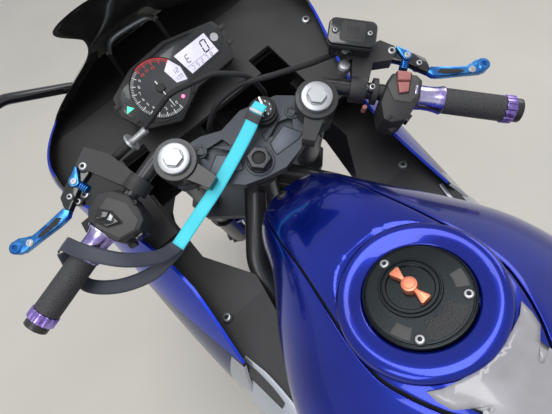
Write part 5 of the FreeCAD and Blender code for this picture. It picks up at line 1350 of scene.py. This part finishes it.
spun(cluster, [(45, 4.8), (45, 5.6), (44.2, 6.0), (43.6, 5.4), (43.4, 5.0)], dark_alloy, TACH, 72)
for k in range(TICKS + 1):
    a = math.radians(DIAL_START - DIAL_SWEEP * k / TICKS)
    major = k % 5 == 0
    inner = 35.5 if major else 38.5
    wide = 0.55 if major else 0.28
    c, s = math.cos(a), math.sin(a)
    corners = [(inner * c - wide * s, inner * s + wide * c), (inner * c + wide * s, inner * s - wide * c),
        (42.5 * c + wide * s, 42.5 * s - wide * c), (42.5 * c - wide * s, 42.5 * s + wide * c)]
    pressed(cluster, corners, 4.9, 5.15, print_red if k >= RED_FROM else print_white, TACH)
    if major:
        at = TACH @ Matrix.Translation((30.5 * c, 30.5 * s, 5.1))
        if not 20 < math.degrees(a) < 62 and k // 5 < 14:
            letters(cluster, str(k // 5), 6.4, at, print_red if k >= RED_FROM else print_white)
arc = [math.radians(DIAL_START - DIAL_SWEEP * k / TICKS) for k in range(RED_FROM, TICKS + 1)]
band = [(43.8 * math.cos(a), 43.8 * math.sin(a)) for a in arc]
band += [(42.6 * math.cos(a), 42.6 * math.sin(a)) for a in reversed(arc)]
pressed(cluster, band, 4.9, 5.1, print_red, TACH)
pressed(cluster, [(-0.9, 12), (-0.5, -33), (0.5, -33), (0.9, 12)], 7.2, 8, print_white, TACH, 0.2)
spun(cluster, [(6.6, 5), (6.6, 8), (5.8, 9.2), (0.5, 9.4)], black_plastic, TACH, 40)
pressed(cluster, [(1, 35.5), (9, 17), (6, -3), (-10, 2), (-14, 26)], 4.9, LCD_FACE, lcd_pale, DIAL, 0.2)
pressed(cluster, [(11, 34), (68, 34.5), (69.5, 1.5), (17, -1.5)], 4.9, LCD_FACE, lcd_pale, DIAL, 0.2)


def digit(piece, x, y, high, bars, at, finish, lift):
    """Seven bar figure, slanted as on a display."""
    wide, t = high * 0.5, high * 0.09
    strokes = {
        "a": (0.5, 1, 1), "b": (1, 0.75, 0), "c": (1, 0.25, 0), "d": (0.5, 0, 1), "e": (0, 0.25, 0),
        "f": (0, 0.75, 0), "g": (0.5, 0.5, 1),
    }
    for name in bars:
        u, v, lying = strokes[name]
        cx, cy = x + u * wide + v * high * 0.12, y + v * high
        half_x, half_y = (wide * 0.42, t * 0.6) if lying else (t * 0.6, high * 0.21)
        lean = 0 if lying else half_y * 0.12
        left, right = cx - half_x, cx + half_x
        stroke = [(left - lean, cy - half_y), (right - lean, cy - half_y), (right + lean, cy + half_y),
            (left + lean, cy + half_y)]
        pressed(piece, stroke, lift, lift + 0.12, finish, at)


digit(cluster, 52, 11, 17, "abcdef", DIAL, matt_black_and_shade, LCD_FACE)
digit(cluster, 22, 14, 11, "adefg", DIAL, matt_black_and_shade, LCD_FACE)
for k, bars in enumerate(("abcd", "acdfg", "abged", "abc", "abcdefg")):
    digit(cluster, 22 + 8.5 * k, 1.4, 6, bars, DIAL, matt_black_and_shade, LCD_FACE)
pressed(cluster, [(18, 9.6), (68.5, 10.4), (68.5, 9.9), (18, 9.1)], LCD_FACE, 5.4, matt_black_and_shade, DIAL)
for k, bars in enumerate(("bc", "abged")):
    digit(cluster, -6 + 6 * k, 13, 6.5, bars, DIAL, matt_black_and_shade, LCD_FACE)
for k, bars in enumerate(("bc", "abcd", "abcdef")):
    digit(cluster, -8 + 4.6 * k, 3.5, 5, bars, DIAL, matt_black_and_shade, LCD_FACE)
pressed(cluster, [(-96, 10.5), (-83, 10.5), (-89, 18.5)], 4.9, 5.4, lamp_green, DIAL, 0.3)
spun(cluster, [(2.6, 4.9), (2.6, 6), (2, 6.6), (0.3, 6.9)], lamp_red,
    DIAL @ Matrix.Translation((-15.6, -18.6, 0)), 24)
spun(cluster, [(6.2, 4.9), (6.2, 5.3), (5.4, 5.3), (5.4, 5.0)], bright_alloy,
    DIAL @ Matrix.Translation((77, 21, 0)), 32)
for x, y in ((94, 2), (96, 26), (-100, 26), (-92, -6)):
    pressed(cluster, [(x - 5, y - 3.5), (x + 5, y - 3.5), (x + 5, y + 3.5), (x - 5, y + 3.5)], 3, 5,
        black_plastic, DIAL, 1)
assemble("cluster_face", cluster, angle=40)


# Handlebars: forged clip-ons. Ribbed rubber grips slide over turned violet collars, and notched rings
# and plugs close the ends. BAR runs along the left one: x back, y up, z outward from the grip's start.

# Violet-anodised aluminium, turned and polished; its pale lilac patches are painted shine
violet_alloy = surface("violet_alloy", "9586c8", "d4ceea", metallic=1.0, rough=(0.16, 0.28), grain_mm=2.5,
    bump=0.05, patch_mm=22)
# The same anodising, darker on the notched end rings
ring_violet = surface("ring_violet", "7c61bc", "ad99dd", metallic=1.0, rough=(0.2, 0.3), grain_mm=2.5,
    bump=0.05, patch_mm=22)
# Moulded grip rubber with a 1.6 mm diamond grain, with painted shade between the diamonds
grip_rubber = knurled("grip_rubber", "2c2c2d", "3f3f40", pitch_mm=1.6)

dress("handlebars", frame_black, True)
BAR = pose((-8, 222, 15), (-0.5446, 0.8387, 0), (-0.8387, -0.5446, 0))


def notched(a, r):
    """Radius of the end ring, with a notch cut every so often round it."""
    return r - (1.3 if (a * 14 / math.pi) % 2 < 0.7 and r > 16.9 else 0)


for side in (1, -1):
    tag = "left" if side > 0 else "right"
    turn = BAR if side > 0 else FLIP @ BAR
    grip = []
    spun(grip, [
        (15, -3), (21.2, -2.4), (21.6, -1), (21.2, 0.6), (18, 1.2), (17.2, 4), (15.9, 12), (16, 22),
        (17.2, 31), (18.6, 35.4), (18.6, 38.2), (17, 39),
    ], violet_alloy, turn, 64)
    spun(grip, [(16.2, 38), (16.9, 39.4), (16.9, 117), (16.2, 118)], grip_rubber, turn, 56)
    spun(grip, [(16, 117.4), (18.3, 118), (18.5, 119.4), (18.5, 129.4), (17.8, 130.8), (15.4, 131.2)],
        ring_violet, turn, 84, notched)
    spun(grip, [(15.2, 130.6), (15.2, 133), (13.8, 134.4), (11, 134.6), (10.4, 137.4), (9, 138.6),
        (5.4, 138.8), (5, 136.6), (0.5, 136.4)], dark_alloy, turn, 40)
    spun(grip, [(19, -6), (19.6, -5), (19.6, -3.4), (19, -2.4)], matt_black_and_shade, turn, 48)
    assemble("grip_" + tag, grip, "steering", BARS, bevel=0.2,
        replaces=["grip_rubbers", "grip_collars"] if side > 0 else ())


# Switch pods: two nylon shells clamped round each bar, with a grey face, rockers and a red stop switch.

# Faded red-brown switch plastic
kill_red = surface("kill_red", "955955", "a26561", rough=(0.4, 0.5), grain_mm=1.1)

pods = []
pressed(pods, [(10, 229), (24, 224), (38, 205), (33, 186), (19, 170), (-4, 163), (-19, 163), (-29, 172),
    (-32, 203), (-20, 214)], -13, 35, black_plastic, round_top=5, round_foot=3)
pressed(pods, [(15, 213), (27, 195), (9, 175), (-17, 169), (-27, 178), (-29, 199), (-3, 222)], 30, 36.2,
    pod_grey, round_top=1.6)
# Dead black plate under the rockers: painted shade in the gaps round them.
pressed(pods, [(17.5, 211), (7, 195), (-12, 188), (-13.5, 190), (-11, 208), (3, 221)], 35.8, 36.8,
    matt_black_and_shade, round_top=0.3)
pressed(pods, [(13.5, 210), (6, 198.6), (0, 204), (5, 216.5)], 36.6, 40.5, black_gloss, round_top=1.2)
pressed(pods, [(5, 198), (-0.6, 195.6), (-6, 200), (-1, 205)], 36.6, 39.2, bright_alloy, round_top=1.2)
pressed(pods, [(-1.6, 195.4), (-11, 191), (-9.4, 206.6), (-5, 211), (-6.6, 200.6)], 36.6, 40.5, black_gloss,
    round_top=1.2)
pressed(pods, [(-24, 176), (-31, 186), (-36, 184), (-32, 173)], 8, 22, black_gloss, round_top=2)
pressed(pods, [(-33, 190), (-34, 201), (-39, 200), (-38, 190)], -2, 10, black_plastic, round_top=2)
for s, r in ((-8, 15.2), (-52, 14.6)):
    spun(pods, [(r, s - 4), (r + 3, s - 3.4), (r + 3, s + 3.4), (r, s + 4)], black_plastic, BAR, 40)
screw(pods, (6, 166, 34.6), (0, 0, 1), 3.2, dark_alloy)
assemble("left_switch_pod", pods, "steering", BARS, bevel=0.5, replaces=["switch_pods"])
pods = []
pressed(pods, [(28, -206), (26, -214), (12, -234), (2, -237), (-18, -224), (-30, -205), (-38, -190),
    (-34, -172), (-24, -165), (-2, -172), (22, -196)], -13, 34, black_plastic, round_top=6, round_foot=3)
pressed(pods, [(24, -206), (10, -230), (3, -232), (-15, -221), (-20, -206), (-8, -188), (14, -190)], 30,
    35.6, pod_grey, round_top=2.2)
# Dead black plate under the switches: painted shade in the gaps round them.
pressed(pods, [(26, -208.5), (15, -226.5), (-8, -210), (-4, -196.5)], 35.2, 36.2, matt_black_and_shade, round_top=0.3)
pressed(pods, [(25, -209.4), (15.5, -224.2), (6, -217.8), (13, -203.6)], 36, 41.5, kill_red, round_top=1.4)
pressed(pods, [(11.6, -203.2), (5, -217), (-6.2, -209.4), (-3, -198)], 36, 39.4, kill_red, round_top=1.4)
pressed(pods, [(-26, -205), (-31, -195), (-38, -198), (-33, -208)], 6, 20, black_gloss, round_top=2)
pressed(pods, [(-30, -181), (-31, -171), (-40, -174), (-39, -184)], 2, 14, black_plastic, round_top=2)
for s, r in ((-8, 15.2), (-52, 14.6)):
    spun(pods, [(r, s - 4), (r + 3, s - 3.4), (r + 3, s + 3.4), (r, s + 4)], black_plastic, FLIP @ BAR, 40)
screw(pods, (-26, -174, 33.4), (0, 0, 1), 3.2, dark_alloy)
assemble("right_switch_pod", pods, "steering", BARS, bevel=0.5)


# Hand levers: folding brake and clutch levers, milled from blue-anodised bar, hinged to black roots,
# each with a drop-shaped adjuster. The left one is the right one mirrored, turned and lengthened.

# Blue-anodised aluminium: saturated metal with bright edges
lever_blue = surface("lever_blue", "2761ad", "4b95da", metallic=0.9, rough=(0.2, 0.32), grain_mm=1.1,
    bump=0.08, patch_mm=17)

dress("lever_perches", black_plastic, True)
ROOT = [(62, -213), (66, -221), (56, -236), (44, -249), (31, -259), (18, -258), (11, -252), (22, -243),
    (36, -232), (48, -217)]
BLADE = [
    (12, -251), (18, -259), (12, -272), (5, -287), (-1, -302), (0, -312), (1.5, -319), (-1, -327),
    (-6, -331.5), (-12, -331.5), (-16.5, -326), (-18, -316), (-14, -304), (-9.5, -292), (-3, -272),
    (1, -262), (5, -255),
]
RIGHT_PIVOT, LEFT_PIVOT = (43, -235.4), (65.5, 229)


def left_hand(points):
    """The clutch lever is the brake lever mirrored, turned a little and lengthened."""
    turn, grow = math.radians(-4), 1.06
    made = []
    for u, v in points:
        du, dv = u - RIGHT_PIVOT[0], RIGHT_PIVOT[1] - v
        made.append((
            LEFT_PIVOT[0] + grow * (du * math.cos(turn) - dv * math.sin(turn)),
            LEFT_PIVOT[1] + grow * (du * math.sin(turn) + dv * math.cos(turn)),
        ))
    return made


for side in (1, -1):
    tag = "left" if side > 0 else "right"
    move = left_hand if side > 0 else (lambda points: points)
    lever = []
    pressed(lever, move(ROOT), 14, 25.5, black_gloss, round_top=2.2, round_foot=1.5)
    pressed(lever, move(BLADE), 14.5, 26, lever_blue, round_top=3.0, round_foot=2.0)
    # Dead black strip in the blade's groove: painted shade.
    pressed(lever, move([(6, -262), (9, -268), (-3.5, -293), (-7.5, -296), (-7.5, -290), (0, -270)]), 25.4,
        26.3, matt_black_and_shade, round_top=0.2)
    tip, small, pivot, joint = (Vector((*p, 0))
        for p in move([(-9, -323.5), (-9.5, -306), (58, -220.5), (27.6, -246.2)]))
    spun(lever, [(8.6, 13.8), (8.6, 25.8), (6.6, 27.6), (3.6, 27.8), (3, 26), (0.5, 26)], lever_blue,
        pose(tip), 36)
    spun(lever, [(4.8, 25.6), (4.8, 26.6), (4.2, 27)], bright_alloy, pose(small), 24)
    screw(lever, small + Vector((0, 0, 26.4)), (0, 0, 1), 3, bright_alloy, 1.2)
    spun(lever, [(7.8, 12), (7.8, 27.6), (6.8, 28.6)], black_gloss, pose(pivot), 32)
    screw(lever, pivot + Vector((0, 0, 28.4)), (0, 0, 1), 5.4, bright_alloy, 2.4)
    spun(lever, [(5.4, 12), (5.4, 26.2), (4.8, 27)], dark_alloy, pose(joint), 28)
    screw(lever, joint + Vector((0, 0, 26.8)), (0, 0, 1), 4, bright_alloy, 2)
    drop = move([(61, -229), (58.6, -227.6), (48, -228.4), (38, -229.8), (36.4, -235), (38, -240),
        (43, -242.2), (48, -240.4), (52, -236)])
    pressed(lever, drop, 27.5, 31.5, lever_blue, round_top=1.0, round_foot=0.4)
    middle = Vector((*move([(42.5, -235)])[0], 0))
    spun(lever, [(4.4, 31.2), (4.4, 32.8), (3.6, 33.4), (1.4, 33.4), (1.2, 32.4), (0.3, 32.4)],
        bright_alloy, pose(middle), 28)
    base = Vector((*move([(31.5, -226)])[0], 0))
    for k in range(5):
        spot = middle.lerp(base, 0.35 + 0.2 * k) + Vector((0, 0, 23))
        spun(lever, [(4.6, -1.3), (6, -0.6), (6, 0.6), (4.6, 1.3)], lever_blue, pose(spot, base - middle), 28)
    assemble("lever_" + tag, lever, "steering", BARS, bevel=0.25,
        replaces=["hand_levers"] if side > 0 else ())


# Perch fittings: plugs, clamp bolts and a small red knob, screwed into the lever perches.

fittings = []
spun(fittings, [(9, 6), (9, 18.5), (8.2, 20), (7.4, 20.2), (7.2, 21.4), (6.6, 22), (0.5, 22.2)], cast_grey,
    pose((56.5, 178.5, 0)), 40)
spun(fittings, [(8.6, 6), (8.6, 19), (7.6, 20.4), (6, 20.4), (5.6, 19)], black_gloss, pose((42.5, 166, 0)),
    36)
screw(fittings, (42.5, 166, 19), (0, 0, 1), 5, dark_alloy, 3)
spun(fittings, [(9, 6), (9, 20.4), (8, 21.4), (7.4, 22.8), (6.6, 23.2), (0.5, 23.4)], bright_alloy,
    pose((69.2, -157.5, 0)), 40)
for u, v, w in ((43.5, 237.5, 16), (21.4, -173, 30), (26, -166, 26), (33.5, 152, 22)):
    spun(fittings, [(6, w - 8), (6, w), (5.2, w + 0.8)], black_gloss, pose((u, v, 0)), 28)
    screw(fittings, (u, v, w + 0.6), (0, 0, 1), 4.4, bright_alloy if u > 43 else steel, 2.4)
spun(fittings, [(3.4, 0), (3.4, 13), (2.8, 13.8), (0.5, 14)], kill_red, pose((6.5, -158.5, 0)), 24)
assemble("perch_fittings", fittings, "steering", BARS, bevel=0.2)


# Brake reservoir: a moulded box on the right perch, with a ribbed lid held by two screws.

def rounded_box(cx, cy, half_x, half_y, radius, angle):
    """Outline of a turned rectangle with round corners."""
    points = []
    for sx, sy, start in ((1, 1, 0), (-1, 1, 90), (-1, -1, 180), (1, -1, 270)):
        for k in range(7):
            a = math.radians(start + 15 * k)
            x = sx * (half_x - radius) + radius * math.cos(a)
            y = sy * (half_y - radius) + radius * math.sin(a)
            points.append((cx + x * math.cos(angle) - y * math.sin(angle),
                cy + x * math.sin(angle) + y * math.cos(angle)))
    return points


lean = math.radians(-33)
reservoir = []
pressed(reservoir, rounded_box(90, -174, 17, 28.5, 6, lean), 24, 50, black_gloss, round_top=1, round_foot=3)
pressed(reservoir, rounded_box(89, -173, 19.5, 31.5, 8, lean), 49.5, 55, black_plastic, round_top=1)
pressed(reservoir, rounded_box(89, -173, 18.6, 30.6, 8, lean), 54.6, 59.4, black_gloss, round_top=1.6)
pressed(reservoir, rounded_box(89, -173, 14, 16, 4, lean), 59.2, 59.9, black_plastic, round_top=0.4)
RIB_PITCH = 3.4
for k in range(-2, 3):
    u, v = 89 + k * RIB_PITCH * math.sin(-lean), -173 + k * RIB_PITCH * math.cos(lean)
    pressed(reservoir, rounded_box(u, v, 8, 0.7, 0.5, lean), 59.8, 60.4, black_gloss, round_top=0.2)
for u, v in ((100.6, -153.6), (77.4, -191.4)):
    spun(reservoir, [(4.4, 58.8), (4.4, 60), (3.8, 60.4)], black_plastic, pose((u, v, 0)), 24)
    screw(reservoir, (u, v, 60), (0, 0, 1), 3.2, bright_alloy, 1.4)
assemble("reservoir_detail", reservoir, "steering", BARS, bevel=0.3,
    replaces=["brake_reservoir"])


# Studio: a pale plain floor and three soft panels of light, over the bike and beside it.

def area_light(name, place, toward, size, power):
    """A soft rectangular panel that faces a point."""
    data = bpy.data.lights.new(name, "AREA")
    data.shape = "RECTANGLE"
    data.size, data.size_y = size
    data.energy = power
    lamp = bpy.data.objects.new(name, data)
    bpy.context.scene.collection.objects.link(lamp)
    facing = (Vector(toward) - Vector(place)).to_track_quat("-Z", "Y").to_matrix().to_4x4()
    lamp.matrix_world = Matrix.Translation(place) @ facing


area_light("ceiling_panel", (0.3, 0.4, 3.4), (0.1, 0, 0.5), (2.6, 1.2), 42)
area_light("left_panel", (-0.6, 2.6, 2.6), (0.1, 0, 0.7), (1.6, 1.6), 27)
area_light("right_panel", (0.8, -2.6, 2.6), (0.1, 0, 0.7), (1.6, 1.6), 22)
world = bpy.data.worlds.new("studio")
bpy.context.scene.world = world
world.use_nodes = True
world.node_tree.nodes["Background"].inputs["Color"].default_value = (0.85, 0.87, 0.9, 1)
world.node_tree.nodes["Background"].inputs["Strength"].default_value = 0.72
bpy.context.scene.view_settings.view_transform = "Standard"

floor_mesh = bpy.data.meshes.new("floor")
bm = bmesh.new()
bmesh.ops.create_grid(bm, x_segments=1, y_segments=1, size=9.0)
bm.to_mesh(floor_mesh)
bm.free()
floor = bpy.data.objects.new("floor", floor_mesh)
bpy.context.scene.collection.objects.link(floor)
floor.data.materials.append(surface("floor_tile", "c6c2b9", "cec9c0", rough=(0.35, 0.5), grain_mm=25,
    bump=0.02, patch_mm=650))
